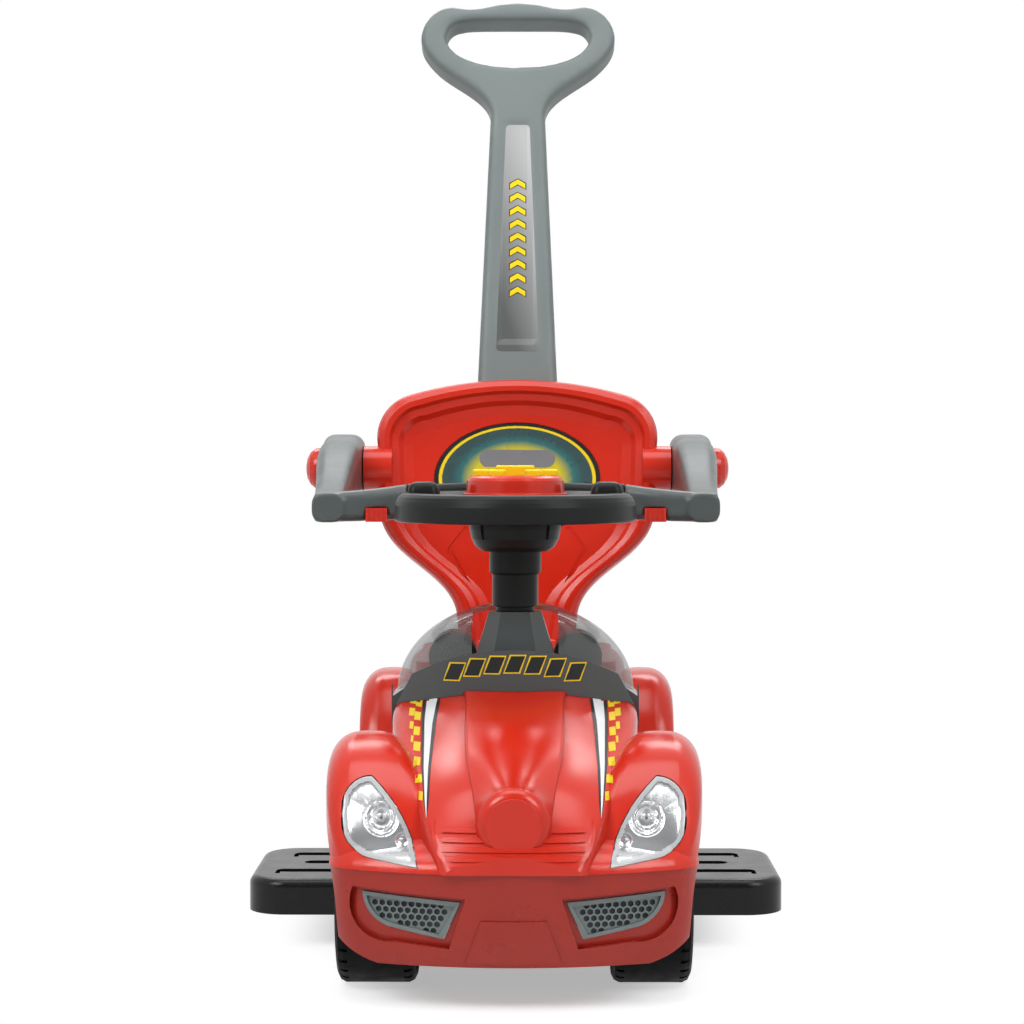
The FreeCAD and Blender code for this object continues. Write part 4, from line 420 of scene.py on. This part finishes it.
def arc(a, b, c, steps=8):
    """Points on the circle through three points, from the first towards the last."""
    d = 2 * (a[0] * (b[1] - c[1]) + b[0] * (c[1] - a[1]) + c[0] * (a[1] - b[1]))
    sq = [p[0] ** 2 + p[1] ** 2 for p in (a, b, c)]
    mx = (sq[0] * (b[1] - c[1]) + sq[1] * (c[1] - a[1]) + sq[2] * (a[1] - b[1])) / d
    mz = (sq[0] * (c[0] - b[0]) + sq[1] * (a[0] - c[0]) + sq[2] * (b[0] - a[0])) / d
    radius = math.hypot(a[0] - mx, a[1] - mz)
    first, last = (math.atan2(p[1] - mz, p[0] - mx) for p in (a, c))
    turn = (last - first + math.pi) % (2 * math.pi) - math.pi
    turns = [first + turn * n / steps for n in range(steps)]
    return [(mx + radius * math.cos(q), mz + radius * math.sin(q)) for q in turns]


def dress(item, body, slot, *finishes):
    """Gives a new piece its finishes and the body it moves with. The slot argument is not used."""
    item.data.materials.clear()
    for material in finishes:
        item.data.materials.append(material)
    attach(item, body)


def rounded(item, sharp):
    """Smooth shading that keeps edges sharper than the angle, in degrees."""
    only(item)
    bpy.ops.object.shade_smooth_by_angle(angle=math.radians(sharp))


def eased(corners, radius):
    """The same outline with round corners."""
    corners = [Vector(corner) for corner in corners]
    places = []
    for before, here, after in zip(corners[-1:] + corners[:-1], corners, corners[1:] + corners[:1]):
        first = here + (before - here).normalized() * radius
        last = here + (after - here).normalized() * radius
        bend = here + (first + last - 2 * here) * (1 - math.sqrt(0.5))
        places += arc(first, bend, last, 4) + [tuple(last)]
    return places


def drawn_in(corners, share):
    """The same outline, smaller by that share about its middle."""
    mx = sum(c[0] for c in corners) / len(corners)
    mz = sum(c[1] for c in corners) / len(corners)
    return [(mx + (x - mx) * (1 - share), mz + (z - mz) * (1 - share)) for x, z in corners]


def mirrored(corners, side):
    """The same outline on the other side of the car."""
    return [(side * x, z) for x, z in corners]


def body_of(node):
    """The body that a CAD node moves with."""
    return next(body for body, nodes in frame["record"]["behaviour"]["bodies"].items() if node in nodes)


def slot_of(node):
    """The record's slot of a CAD node."""
    return next(row["material_slot"] for row in frame["record"]["subparts"] if row["node"] == node)


def smooth_copy(node, name, sharp, *finishes):
    """A merged copy of a CAD node with smooth shading, which stands for it."""
    nothing_selected()
    item = NODES[node].copy()
    item.data = NODES[node].data.copy()
    item.parent = None
    item.name = name
    for key in list(item.keys()):
        del item[key]
    bpy.context.scene.collection.objects.link(item)
    edit(item)
    bpy.ops.mesh.customdata_custom_splitnormals_clear()
    bpy.ops.mesh.remove_doubles(threshold=CAD_SEAM)
    done()
    rounded(item, sharp)
    dress(item, body_of(node), slot_of(node), *finishes)
    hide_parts(node)
    return item


MATERIALS = {}


class PUSHCAR_OT_finishes(bpy.types.Operator):
    """Makes the finishes that the pieces share"""

    bl_idname = "pushcar.finishes"
    bl_label = "Finishes"

    def execute(self, context):
        tint = context.scene.push_car_colours
        MATERIALS.update(
            red_plastic=moulded("red_plastic", tint.red, gloss=0.22, shine=0.40),
            # The bumper's darker tint is painted shade
            dull_red_plastic=moulded("dull_red_plastic", tint.painted_shade_bumper, gloss=0.30),
            handle_plastic=moulded("handle_plastic", tint.handle, gloss=0.44, shine=0.3),
            grey_plastic=moulded("grey_plastic", tint.grey, gloss=0.32, shine=0.3),
            cowl_plastic=moulded("cowl_plastic", tint.cowl, gloss=0.22, shine=0.4),
            dark_plastic=moulded("dark_plastic", tint.dark, gloss=0.34, shine=0.13),
            black_plastic=moulded("black_plastic", tint.black, gloss=0.26, shine=0.25),
            tyre=tyre_plastic("tyre", tint.tyre),
            silver_plastic=moulded("silver_plastic", tint.silver, gloss=0.32),
            yellow_plastic=moulded("yellow_plastic", tint.yellow, gloss=0.28),
            smoke_screen=see_through("smoke_screen", (0.14, 0.145, 0.145), cover=0.5, gloss=0.07),
            clear_lens=see_through("clear_lens", (0.70, 0.72, 0.74), cover=0.10, gloss=0.04),
            chrome=metal("chrome", (0.60, 0.61, 0.62), gloss=0.20, streak=40),
            steel=metal("steel", (0.46, 0.46, 0.47), gloss=0.34, streak=300),
            board=moulded("board", (0.02, 0.16, 0.06), gloss=0.5),
            frosted_rim=see_through("frosted_rim", (0.50, 0.51, 0.52), cover=0.80, gloss=0.15),
            grille_grey=moulded("grille_grey", (0.17, 0.20, 0.197), gloss=0.4),
            # Near-black: painted shade on the floors of the sunken grille cells, and the dark tips of the
            # lamp bulbs
            cell_dark=moulded("cell_dark", (0.030, 0.036, 0.040), gloss=0.5),
            black_film=moulded("black_film", (0.010, 0.012, 0.013), gloss=0.3, grain=FILM_GRAIN),
            white_film=moulded("white_film", tint.paper, gloss=0.3, grain=FILM_GRAIN),
            yellow_film=moulded("yellow_film", tint.yellow, gloss=0.3, grain=FILM_GRAIN),
            bar_grey=moulded("bar_grey", (0.20, 0.20, 0.21), gloss=0.3, grain=FILM_GRAIN),
            badge_print=badge_print("badge_print", tint),
            label_print=label_print("label_print"),
        )
        for row in frame["record"]["subparts"]:
            paint(row["node"], MATERIALS[row["material_slot"]])
        paint("push_handle", MATERIALS["handle_plastic"])
        paint("cowl", MATERIALS["cowl_plastic"])
        return {"FINISHED"}


# Blown mouldings with soft edges

# Each piece: CAD node, name, grid in metres, rounds of easing, finish.
SOFT_PIECES = (
    ("push_handle", "soft_handle", 0.0021, 12, "handle_plastic"),
    ("guard_arm_left", "soft_arm_left", 0.0016, 10, "grey_plastic"),
    ("guard_arm_right", "soft_arm_right", 0.0016, 10, "grey_plastic"),
)
EASE = 0.5


class PUSHCAR_OT_soft_mouldings(bpy.types.Operator):
    """Gives the blown handle and guard arms the soft edges of their moulds"""

    bl_idname = "pushcar.soft_mouldings"
    bl_label = "Soft mouldings"

    def execute(self, context):
        for node, name, grid, rounds, finish_name in SOFT_PIECES:
            piece = smooth_copy(node, name, SOFT_SHARP, MATERIALS[finish_name])
            even = piece.modifiers.new("even", "REMESH")
            even.mode = "VOXEL"
            even.voxel_size = grid
            even.use_smooth_shade = True
            ease = piece.modifiers.new("ease", "SMOOTH")
            ease.factor = EASE
            ease.iterations = rounds
            apply_all(piece)
        return {"FINISHED"}


# Hood stickers

# Each row: height, then the stripe's edges from the car's middle outwards, in millimetres.
STRIPE_ROWS = (
    (216.8, 58.5, 60.8, 70.4, 73.8),
    (195.6, 61.1, 64.0, 70.4, 73.1),
    (168.9, 62.7, 64.7, 68.0, 70.0),
    (147.4, 62.7, 64.1, 65.3, 66.0),
    (139.6, 63.6, 63.8, 64.0, 64.2),
)
STRIPE_LAYERS = (
    ("stripe_edge", 1, 4, FIRST_LIFT, "black_film"), ("stripe", 2, 3, SECOND_LIFT, "white_film"),
)
# Each check: inner and outer edge from the car's middle, low and high edge, in millimetres.
CHECKS = (
    (74.1, 79.2, 210.3, 213.3), (74.1, 79.2, 203.6, 207.9), (74.1, 79.1, 195.9, 200.6),
    (73.6, 78.6, 187.1, 192.0), (72.2, 77.6, 178.1, 183.3), (71.3, 76.3, 170.0, 174.7),
    (68.8, 73.8, 160.4, 165.0), (67.5, 70.5, 149.8, 155.2), (79.3, 84.4, 204.6, 208.6),
    (79.3, 83.9, 197.9, 202.2), (79.2, 82.3, 190.4, 194.6), (78.3, 80.2, 182.6, 186.5),
)
COWL_BOW = 0.144
UNDER_COWL = 0.002


def cowl_edge(x):
    """How far back the hood shows in front of the cowl's bowed edge."""
    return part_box("cowl")[0].y + COWL_BOW - math.sqrt(COWL_BOW ** 2 - x * x) + UNDER_COWL


class PUSHCAR_OT_hood_stickers(bpy.types.Operator):
    bl_idname = "pushcar.hood_stickers"
    bl_label = "Hood stickers"

    def execute(self, context):
        for hand, side in HANDS:
            for name, inner, outer, lift, finish_name in STRIPE_LAYERS:
                parts = []
                for high, low in zip(STRIPE_ROWS, STRIPE_ROWS[1:]):
                    corners = [
                        (high[inner], high[0]), (high[outer], high[0]),
                        (low[outer], low[0]), (low[inner], low[0]),
                    ]
                    parts.append(sheet_of(mirrored(corners, side), FILM_CELL))
                strip = joined(f"{name}_{hand}", parts)
                drape(strip, NODES["body_shell"], lift, FILM, last=cowl_edge)
                dress(strip, "car", "red_plastic", MATERIALS[finish_name])
            squares = []
            for inner, outer, low, high in CHECKS:
                corners = [(inner, low), (outer, low), (outer, high), (inner, high)]
                squares.append(sheet_of(mirrored(corners, side), FILM_CELL))
            checks = joined(f"checks_{hand}", squares)
            drape(checks, NODES["body_shell"], FIRST_LIFT, FILM, last=cowl_edge)
            dress(checks, "car", "yellow_plastic", MATERIALS["yellow_film"])
        return {"FINISHED"}


# Headlamps

# The lamp's outline in millimetres, drawn in by a small share so that its sheets stay on their targets.
LAMP_SHARE = 0.012
LAMP = drawn_in(
    arc((70, 106), (84, 141), (106, 166)) + arc((106, 166), (123, 158), (127, 140))
    + arc((127, 140), (121, 119), (106, 111)) + [(106, 111)], LAMP_SHARE)
# Each bowl: place across, height and radius.
MAIN_BOWL = (98.0, 137.0, 13.0)
SMALL_BOWL = (81.5, 121.5, 6.0)
# Each step: share of the radius and depth.
BOWL_STEPS = ((1.0, 0.0), (0.94, 1.6), (0.87, 0.5), (0.66, 4.2), (0.60, 3.2), (0.30, 6.4), (0.0, 7.0))
FLUTES = 18
FLUTE_DEPTH = 0.12
RIM_WIDTH = 3.2
RIM_SLOPE = 1.0
RIM_RISE = 0.7
# Radius, reach and tip of the main bulb.
BULB = (3.4, 6.0, 1.3)
BULB_SIDES = 32
# Lengths in metres.
BULB_SEAT = 0.002
TIP_EDGE, TIP_RISE = 0.0002, -0.0004
BOWL_CELL = 0.0008
BOWL_WALL = 0.001
COVER_CELL = 0.0012
COVER_WALL = 0.0016


def step_depth(share):
    """How far a lamp bowl is sunk at that share of its radius, in millimetres."""
    for (out, shallow), (into, deep) in zip(BOWL_STEPS, BOWL_STEPS[1:]):
        if share >= into:
            return shallow + (deep - shallow) * (out - share) / (out - into)
    return 0.0


def edge_distance(x, z, outline):
    """How far a point is inside a convex outline."""
    outline = facing(list(outline))
    gaps = []
    for a, b in zip(outline, outline[1:] + outline[:1]):
        long = math.hypot(b[0] - a[0], b[1] - a[1])
        gaps.append(((b[0] - a[0]) * (z - a[1]) - (b[1] - a[1]) * (x - a[0])) / long)
    return min(gaps)


def lamp_bulb(name, x, y, z, share):
    """A short round bulb with a dark tip that stands at the bottom of a lamp bowl."""
    radius, reach, tip = (size * share * MM for size in BULB)
    nothing_selected()
    bpy.ops.mesh.primitive_cylinder_add(
        vertices=BULB_SIDES, radius=radius, depth=reach, location=(x, y - reach / 2, z),
        rotation=(math.pi / 2, 0, 0))
    item = bpy.context.active_object
    item.name = name
    bpy.ops.object.transform_apply(location=True, rotation=True, scale=True)
    edit_faces(item, looks_front)
    bpy.ops.mesh.inset(thickness=(radius - tip) / 2, depth=tip / 2)
    bpy.ops.mesh.inset(thickness=(radius - tip) / 2, depth=tip / 4)
    bpy.ops.mesh.inset(thickness=TIP_EDGE, depth=TIP_RISE)
    done()
    rounded(item, SHARP)
    dress(item, "car", "chrome", MATERIALS["chrome"], MATERIALS["cell_dark"])
    for face in item.data.polygons:
        if looks_front(face) and math.hypot(face.center.x - x, face.center.z - z) < tip / 2:
            face.material_index = 1


class PUSHCAR_OT_headlamps(bpy.types.Operator):
    """Makes the chrome bowls, the bulbs and the clear covers of the headlamps"""

    bl_idname = "pushcar.headlamps"
    bl_label = "Headlamps"

    def execute(self, context):
        for hand, side in HANDS:
            bowl = sheet_of(mirrored(LAMP, side), BOWL_CELL)
            bowl.name = f"lamp_bowl_{hand}"
            drape(bowl, NODES[f"headlamp_reflector_{hand}"], 0.0, 0.0)
            for point in bowl.data.vertices:
                x, z = point.co.x * side / MM, point.co.z / MM
                for u, v, radius in (MAIN_BOWL, SMALL_BOWL):
                    far = math.hypot(x - u, z - v)
                    if far < radius:
                        point.co.y += step_depth(far / radius) * radius / MAIN_BOWL[2] * MM
                if math.hypot(x - MAIN_BOWL[0], z - MAIN_BOWL[1]) > MAIN_BOWL[2]:
                    spoke = math.atan2(z - MAIN_BOWL[1], x - MAIN_BOWL[0])
                    wave = (1 + math.cos(FLUTES * spoke)) * max(0.0, math.sin(spoke))
                    point.co.y += FLUTE_DEPTH * MM * wave
            walled(bowl, BOWL_WALL, -1)
            rounded(bowl, BOWL_SHARP)
            dress(bowl, "car", "chrome", MATERIALS["chrome"])
            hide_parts(f"headlamp_reflector_{hand}")
            for name, (u, v, radius) in (("lamp_bulb", MAIN_BOWL), ("side_bulb", SMALL_BOWL)):
                middle = Vector((side * u * MM, v * MM))
                near = [p.co.y for p in bowl.data.vertices if (p.co.xz - middle).length < BULB_SEAT]
                lamp_bulb(f"{name}_{hand}", middle.x, max(near), middle.y, radius / MAIN_BOWL[2])

            lens = sheet_of(mirrored(LAMP, side), COVER_CELL)
            lens.name = f"lamp_cover_{hand}"
            drape(lens, NODES[f"headlamp_lens_{hand}"], 0.0, 0.0)
            for point in lens.data.vertices:
                inside = edge_distance(point.co.x * side / MM, point.co.z / MM, LAMP)
                point.co.y += RIM_RISE * MM * min(1.0, max(0.0, (inside - RIM_WIDTH + RIM_SLOPE) / RIM_SLOPE))
            walled(lens, COVER_WALL, -1)
            rounded(lens, SHARP)
            dress(lens, "car", "clear_lens", MATERIALS["clear_lens"], MATERIALS["frosted_rim"])
            for face in lens.data.polygons:
                if edge_distance(face.center.x * side / MM, face.center.z / MM, LAMP) < RIM_WIDTH:
                    face.material_index = 1
            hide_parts(f"headlamp_lens_{hand}")
        return {"FINISHED"}


# Fog grilles: a cell's floor is thinner than the web between the cells, and the cell floors are painted
# near-black as painted shade in the sunken cells. Lengths in metres.

CELL_FLOOR = 0.0014
CELL_START = 0.00005
CELL_REACH = 0.02


class PUSHCAR_OT_fog_grilles(bpy.types.Operator):
    """Gives the honeycomb grilles painted shade on the floors of their sunken cells"""

    bl_idname = "pushcar.fog_grilles"
    bl_label = "Fog grilles"

    def execute(self, context):
        for hand, _ in HANDS:
            grille = smooth_copy(
                f"fog_grille_{hand}", f"fog_honeycomb_{hand}", FINE_SHARP,
                MATERIALS["grille_grey"], MATERIALS["cell_dark"])
            tree = BVHTree.FromPolygons(
                [v.co for v in grille.data.vertices], [tuple(f.vertices) for f in grille.data.polygons])
            for face in grille.data.polygons:
                if looks_front(face):
                    start = face.center + Vector((0, CELL_START, 0))
                    hit = tree.ray_cast(start, Vector((0, 1, 0)), CELL_REACH)
                    # Faces over a thin cell floor get the near-black finish as painted shade
                    if hit[0] is not None and hit[3] < CELL_FLOOR:
                        face.material_index = 1
        return {"FINISHED"}


# Cowl band

BAND_BLOCKS = 7
BAND_PITCH = 16.0
BAND_HEIGHT = 238.0
BAND_CROWN = 174.0
# Half width, half height and slant of a block.
BAND_BLOCK = (5.6, 6.4, 2.6)
BAND_EDGE = 1.1
BAND_LAYERS = (
    ("band_outline", BAND_EDGE, FIRST_LIFT, "yellow_film"), ("band_block", 0.0, SECOND_LIFT, "black_film"),
)


class PUSHCAR_OT_cowl_band(bpy.types.Operator):
    """Lays a row of slanted blocks on the front band of the cowl"""

    bl_idname = "pushcar.cowl_band"
    bl_label = "Cowl band"

    def execute(self, context):
        for name, grow, lift, finish_name in BAND_LAYERS:
            half, tall, slant = BAND_BLOCK[0] + grow, BAND_BLOCK[1] + grow, BAND_BLOCK[2]
            parts = []
            for number in range(BAND_BLOCKS):
                x = (number - (BAND_BLOCKS - 1) / 2) * BAND_PITCH
                low = BAND_HEIGHT - x * x / (2 * BAND_CROWN)
                corners = [
                    (x - half - slant, low - tall), (x + half - slant, low - tall),
                    (x + half + slant, low + tall), (x - half + slant, low + tall),
                ]
                parts.append(sheet_of(corners, FILM_CELL))
            band = joined(name, parts)
            drape(band, NODES["cowl"], lift, FILM)
            dress(band, "car", "yellow_plastic" if grow else "dark_plastic", MATERIALS[finish_name])
        return {"FINISHED"}


# Badge

BADGE_MIDDLE = 378.2
BADGE_HALF = 78.4
BADGE_RISE = 52.7
BADGE_SIDES = 128
# Half width and half height of the bar, and its height above the badge's middle.
BADGE_BAR = (36.0, 8.5, 19.0)
# Lengths in metres.
BADGE_RINGS = (0.004, 0.003)
BADGE_FILM = 0.0004
BAR_LIFT = 0.0005
BAR_FILM = 0.0003
BAR_CELL = 0.004


class PUSHCAR_OT_badge(bpy.types.Operator):
    """Makes the oval badge of the backrest with its ring and bar"""

    bl_idname = "pushcar.badge"
    bl_label = "Badge"

    def execute(self, context):
        nothing_selected()
        bpy.ops.mesh.primitive_circle_add(
            vertices=BADGE_SIDES, radius=1, fill_type="NGON", location=(0, FRONT, BADGE_MIDDLE * MM),
            rotation=(math.pi / 2, 0, 0))
        oval = context.active_object
        oval.name = "badge_oval"
        oval.scale = (BADGE_HALF * MM, BADGE_RISE * MM, 1)
        bpy.ops.object.transform_apply(location=True, rotation=True, scale=True)
        edit(oval)
        for ring in BADGE_RINGS:
            bpy.ops.mesh.inset(thickness=ring)
        bpy.ops.mesh.poke()
        done()
        drape(oval, NODES["backrest"], FIRST_LIFT, BADGE_FILM)
        rounded(oval, FINE_SHARP)
        dress(oval, "car", "yellow_plastic", MATERIALS["badge_print"])
        half, thick, rise = BADGE_BAR
        middle = BADGE_MIDDLE + rise
        right = arc((half - thick, middle - thick), (half, middle), (half - thick, middle + thick))
        left = arc((thick - half, middle + thick), (-half, middle), (thick - half, middle - thick))
        bar = sheet_of(right + left, BAR_CELL)
        bar.name = "badge_bar"
        drape(bar, NODES["backrest"], BAR_LIFT, BAR_FILM)
        dress(bar, "car", "grey_plastic", MATERIALS["bar_grey"])
        return {"FINISHED"}


# Handle label

LABEL = [(-20.7, 500.2), (20.7, 500.2), (11.7, 725.6), (-11.7, 725.6)]
LABEL_CORNER = 4.0
LABEL_SLANT = 3.0
LABEL_CELL = 0.006
LABEL_FILM = 0.0002
# Half width, thickness and drop of a chevron.
CHEVRON = (7.5, 5.0, 4.5)
CHEVRON_EDGE = 0.9
CHEVRON_CELL = 0.004
CHEVRON_LAYERS = (
    ("chevron_edge", CHEVRON_EDGE, 0.0003, "black_film"), ("chevron", 0.0, 0.00045, "yellow_film"),
)
CHEVRONS = 9
CHEVRON_LOW = 558.0
CHEVRON_PITCH = 13.4


class PUSHCAR_OT_handle_label(bpy.types.Operator):
    """Lays the shaded label and its column of chevrons in the handle's recess"""

    bl_idname = "pushcar.handle_label"
    bl_label = "Handle label"

    def execute(self, context):
        label = sheet_of(eased(LABEL, LABEL_CORNER), LABEL_CELL)
        label.name = "handle_label"
        handle = bpy.data.objects["soft_handle"]
        drape(label, handle, FIRST_LIFT, LABEL_FILM)
        dress(label, "push_handle", "grey_plastic", MATERIALS["label_print"])
        for name, grow, lift, finish_name in CHEVRON_LAYERS:
            half, thick, drop = CHEVRON[0] + grow, CHEVRON[1], CHEVRON[2]
            parts = []
            for number in range(CHEVRONS):
                low = CHEVRON_LOW + CHEVRON_PITCH * number
                for side in (1, -1):
                    corners = [
                        (0, low - grow), (side * half, low - drop - grow),
                        (side * half, low - drop + thick + grow), (0, low + thick + grow),
                    ]
                    parts.append(sheet_of(corners, CHEVRON_CELL))
            marks = joined(name, parts)
            drape(marks, handle, lift, FILM)
            dress(marks, "push_handle", "grey_plastic" if grow else "yellow_plastic", MATERIALS[finish_name])
        return {"FINISHED"}


# Thumb pads of the steering wheel

PAD_SIZE = (28.0, 34.0, 17.0)
PAD_REACH = 74.0
PAD_RISE = 9.0
PAD_EDGE = 6.0
PAD_TAPER = 0.82
PAD_STEPS = 5


class PUSHCAR_OT_thumb_pads(bpy.types.Operator):
    """Makes the raised thumb pads on both sides of the steering wheel"""

    bl_idname = "pushcar.thumb_pads"
    bl_label = "Thumb pads"

    def execute(self, context):
        low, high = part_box("steering_wheel")
        middle = (low + high) / 2
        for hand, side in HANDS:
            nothing_selected()
            height = high.z + (PAD_RISE - PAD_SIZE[2] / 2) * MM
            across = middle.x + side * PAD_REACH * MM
            bpy.ops.mesh.primitive_cube_add(size=1, location=(across, middle.y, height))
            pad = context.active_object
            pad.name = f"thumb_pad_{hand}"
            pad.scale = [size * MM for size in PAD_SIZE]
            bpy.ops.object.transform_apply(location=True, rotation=True, scale=True)
            edit_faces(pad, lambda face: face.normal.z > 0.5)
            bpy.ops.transform.resize(value=(PAD_TAPER, PAD_TAPER, 1))
            bpy.ops.mesh.select_all(action="SELECT")
            bpy.ops.mesh.bevel(offset=PAD_EDGE * MM, segments=PAD_STEPS)
            bpy.ops.mesh.remove_doubles(threshold=SEAM)
            done()
            rounded(pad, SHARP)
            dress(pad, "steering", "dark_plastic", MATERIALS["dark_plastic"])
        return {"FINISHED"}


# Stage

FLOOR_SIZE = 30
FLOOR_DROP = -0.0002
PALE = ((0.80, 0.80, 0.80), (0.83, 0.83, 0.83))
FLOOR_GLOW = 0.42
FADE_START, FADE_END = 0.6, 1.0
SKY = 0.30
# Each backdrop: name, place and turn about the upright.
BACKDROPS = (("back", (0, 9, 10), 0), ("left", (9, 0, 10), math.pi / 2), ("right", (-9, 0, 10), math.pi / 2))
# Each light: name, place, target, size and power in watts.
LIGHTS = (
    ("key", (-1.5, -1.7, 2.1), (0, -0.1, 0.3), (1.1, 1.1), 36),
    ("fill", (1.6, -1.6, 2.0), (0, -0.1, 0.3), (1.0, 1.2), 26),
    ("top", (0, -0.3, 2.3), (0, 0.1, 0.3), (1.8, 1.2), 24),
    ("back", (0, 1.9, 2.3), (0, -0.2, 0.2), (2.2, 0.9), 32),
)
SENSOR = 36.0


def lamp(name, place, target, size, power):
    """A soft area light that looks at its target."""
    data = bpy.data.lights.new(name, "AREA")
    data.shape = "RECTANGLE"
    data.size, data.size_y = size
    data.energy = power
    item = bpy.data.objects.new(name, data)
    item.location = place
    item.rotation_euler = (Vector(target) - Vector(place)).to_track_quat("-Z", "Y").to_euler()
    bpy.context.scene.collection.objects.link(item)


def white_to_camera(tree, plain, white):
    """Mixes from plain to white for what the camera sees directly, by reflection or through glass."""
    path = tree.nodes.new("ShaderNodeLightPath")
    sees = tree.nodes.new("ShaderNodeMath")
    sees.operation = "MAXIMUM"
    either = tree.nodes.new("ShaderNodeMath")
    either.operation = "MAXIMUM"
    tree.links.new(path.outputs["Is Camera Ray"], sees.inputs[0])
    tree.links.new(path.outputs["Is Glossy Ray"], sees.inputs[1])
    tree.links.new(sees.outputs[0], either.inputs[0])
    tree.links.new(path.outputs["Is Transmission Ray"], either.inputs[1])
    mix = tree.nodes.new("ShaderNodeMixShader")
    tree.links.new(either.outputs[0], mix.inputs["Fac"])
    tree.links.new(plain, mix.inputs[1])
    tree.links.new(white, mix.inputs[2])
    return mix.outputs["Shader"]


def plain_white(tree):
    """A white that lamps and shadows leave alone."""
    bright = tree.nodes.new("ShaderNodeEmission")
    bright.inputs["Color"].default_value = WHITE
    bright.inputs["Strength"].default_value = 1.0
    return bright.outputs["Emission"]


class PUSHCAR_OT_stage(bpy.types.Operator):
    """Sets the pale floor, the backdrops, the soft lights and the camera"""

    bl_idname = "pushcar.stage"
    bl_label = "Stage"

    def execute(self, context):
        scene = context.scene
        setup = scene.push_car_stage
        scene.view_settings.view_transform = "Standard"

        nothing_selected()
        bpy.ops.mesh.primitive_plane_add(size=FLOOR_SIZE, location=(0, 0, FLOOR_DROP))
        floor = context.active_object
        floor.name = "floor"
        material, tree, surface = finish("studio_floor")
        tree.links.new(shades(tree, clouds(tree, 2), *PALE), surface.inputs["Base Color"])
        surface.inputs["Roughness"].default_value = 0.7
        surface.inputs["Emission Color"].default_value = WHITE
        surface.inputs["Emission Strength"].default_value = FLOOR_GLOW
        plain = tree.nodes.new("ShaderNodeBsdfDiffuse")
        plain.inputs["Color"].default_value = (*PALE[0], 1)
        place = tree.nodes.new("ShaderNodeTexCoord")
        oval = tree.nodes.new("ShaderNodeMapping")
        oval.vector_type = "TEXTURE"
        oval.inputs["Scale"].default_value = (setup.shade_half, setup.shade_long, 1)
        tree.links.new(place.outputs["Object"], oval.inputs["Vector"])
        away = tree.nodes.new("ShaderNodeVectorMath")
        away.operation = "LENGTH"
        tree.links.new(oval.outputs["Vector"], away.inputs[0])
        fade = tree.nodes.new("ShaderNodeMapRange")
        fade.interpolation_type = "SMOOTHSTEP"
        fade.inputs["From Min"].default_value = FADE_START
        fade.inputs["From Max"].default_value = FADE_END
        tree.links.new(away.outputs["Value"], fade.inputs["Value"])
        near_far = tree.nodes.new("ShaderNodeMixShader")
        tree.links.new(fade.outputs["Result"], near_far.inputs["Fac"])
        tree.links.new(surface.outputs[0], near_far.inputs[1])
        tree.links.new(plain_white(tree), near_far.inputs[2])
        shown = white_to_camera(tree, plain.outputs[0], near_far.outputs[0])
        tree.links.new(shown, tree.nodes["Material Output"].inputs["Surface"])
        floor.data.materials.append(material)

        world = bpy.data.worlds.new("studio")
        scene.world = world
        world.use_nodes = True
        light = world.node_tree.nodes["Background"]
        light.inputs["Color"].default_value = WHITE
        light.inputs["Strength"].default_value = SKY

        material, tree, surface = finish("studio_backdrop")
        tree.links.new(shades(tree, clouds(tree, 2), *PALE), surface.inputs["Base Color"])
        shown = white_to_camera(tree, surface.outputs[0], plain_white(tree))
        tree.links.new(shown, tree.nodes["Material Output"].inputs["Surface"])
        for name, place, turn in BACKDROPS:
            nothing_selected()
            bpy.ops.mesh.primitive_plane_add(size=FLOOR_SIZE, location=place, rotation=(math.pi / 2, 0, turn))
            backdrop = context.active_object
            backdrop.name = f"backdrop_{name}"
            bpy.ops.object.transform_apply(location=True, rotation=True, scale=True)
            backdrop.data.materials.append(material)

        for light in LIGHTS:
            lamp(*light)

        data = bpy.data.cameras.new("camera")
        data.lens = setup.focal
        data.sensor_width = SENSOR
        eye = bpy.data.objects.new("camera", data)
        eye.location = setup.eye
        eye.rotation_euler = (math.pi / 2 - setup.pitch, 0, setup.yaw)
        scene.collection.objects.link(eye)
        scene.camera = eye
        return {"FINISHED"}


class PUSHCAR_PT_panel(bpy.types.Panel):
    """Lists the steps that dress the car"""

    bl_label = "Push Car"
    bl_idname = "PUSHCAR_PT_panel"
    bl_space_type = "VIEW_3D"
    bl_region_type = "UI"
    bl_category = "Push Car"

    def draw(self, context):
        for step in STEPS:
            self.layout.operator(step.bl_idname)


STEPS = (
    PUSHCAR_OT_finishes, PUSHCAR_OT_soft_mouldings, PUSHCAR_OT_hood_stickers, PUSHCAR_OT_headlamps,
    PUSHCAR_OT_fog_grilles, PUSHCAR_OT_cowl_band, PUSHCAR_OT_badge, PUSHCAR_OT_handle_label,
    PUSHCAR_OT_thumb_pads, PUSHCAR_OT_stage,
)
CLASSES = (PushCarColours, PushCarStage, *STEPS, PUSHCAR_PT_panel)


def register():
    """Adds the settings, the steps and the panel to Blender."""
    for item in CLASSES:
        bpy.utils.register_class(item)
    bpy.types.Scene.push_car_colours = bpy.props.PointerProperty(type=PushCarColours)
    bpy.types.Scene.push_car_stage = bpy.props.PointerProperty(type=PushCarStage)


def unregister():
    """Takes them out again."""
    del bpy.types.Scene.push_car_stage
    del bpy.types.Scene.push_car_colours
    for item in reversed(CLASSES):
        bpy.utils.unregister_class(item)


def main():
    """Runs the steps in order."""
    register()
    for step in STEPS:
        group, name = step.bl_idname.split(".")
        getattr(getattr(bpy.ops, group), name)()


if __name__ == "__main__":
    main()
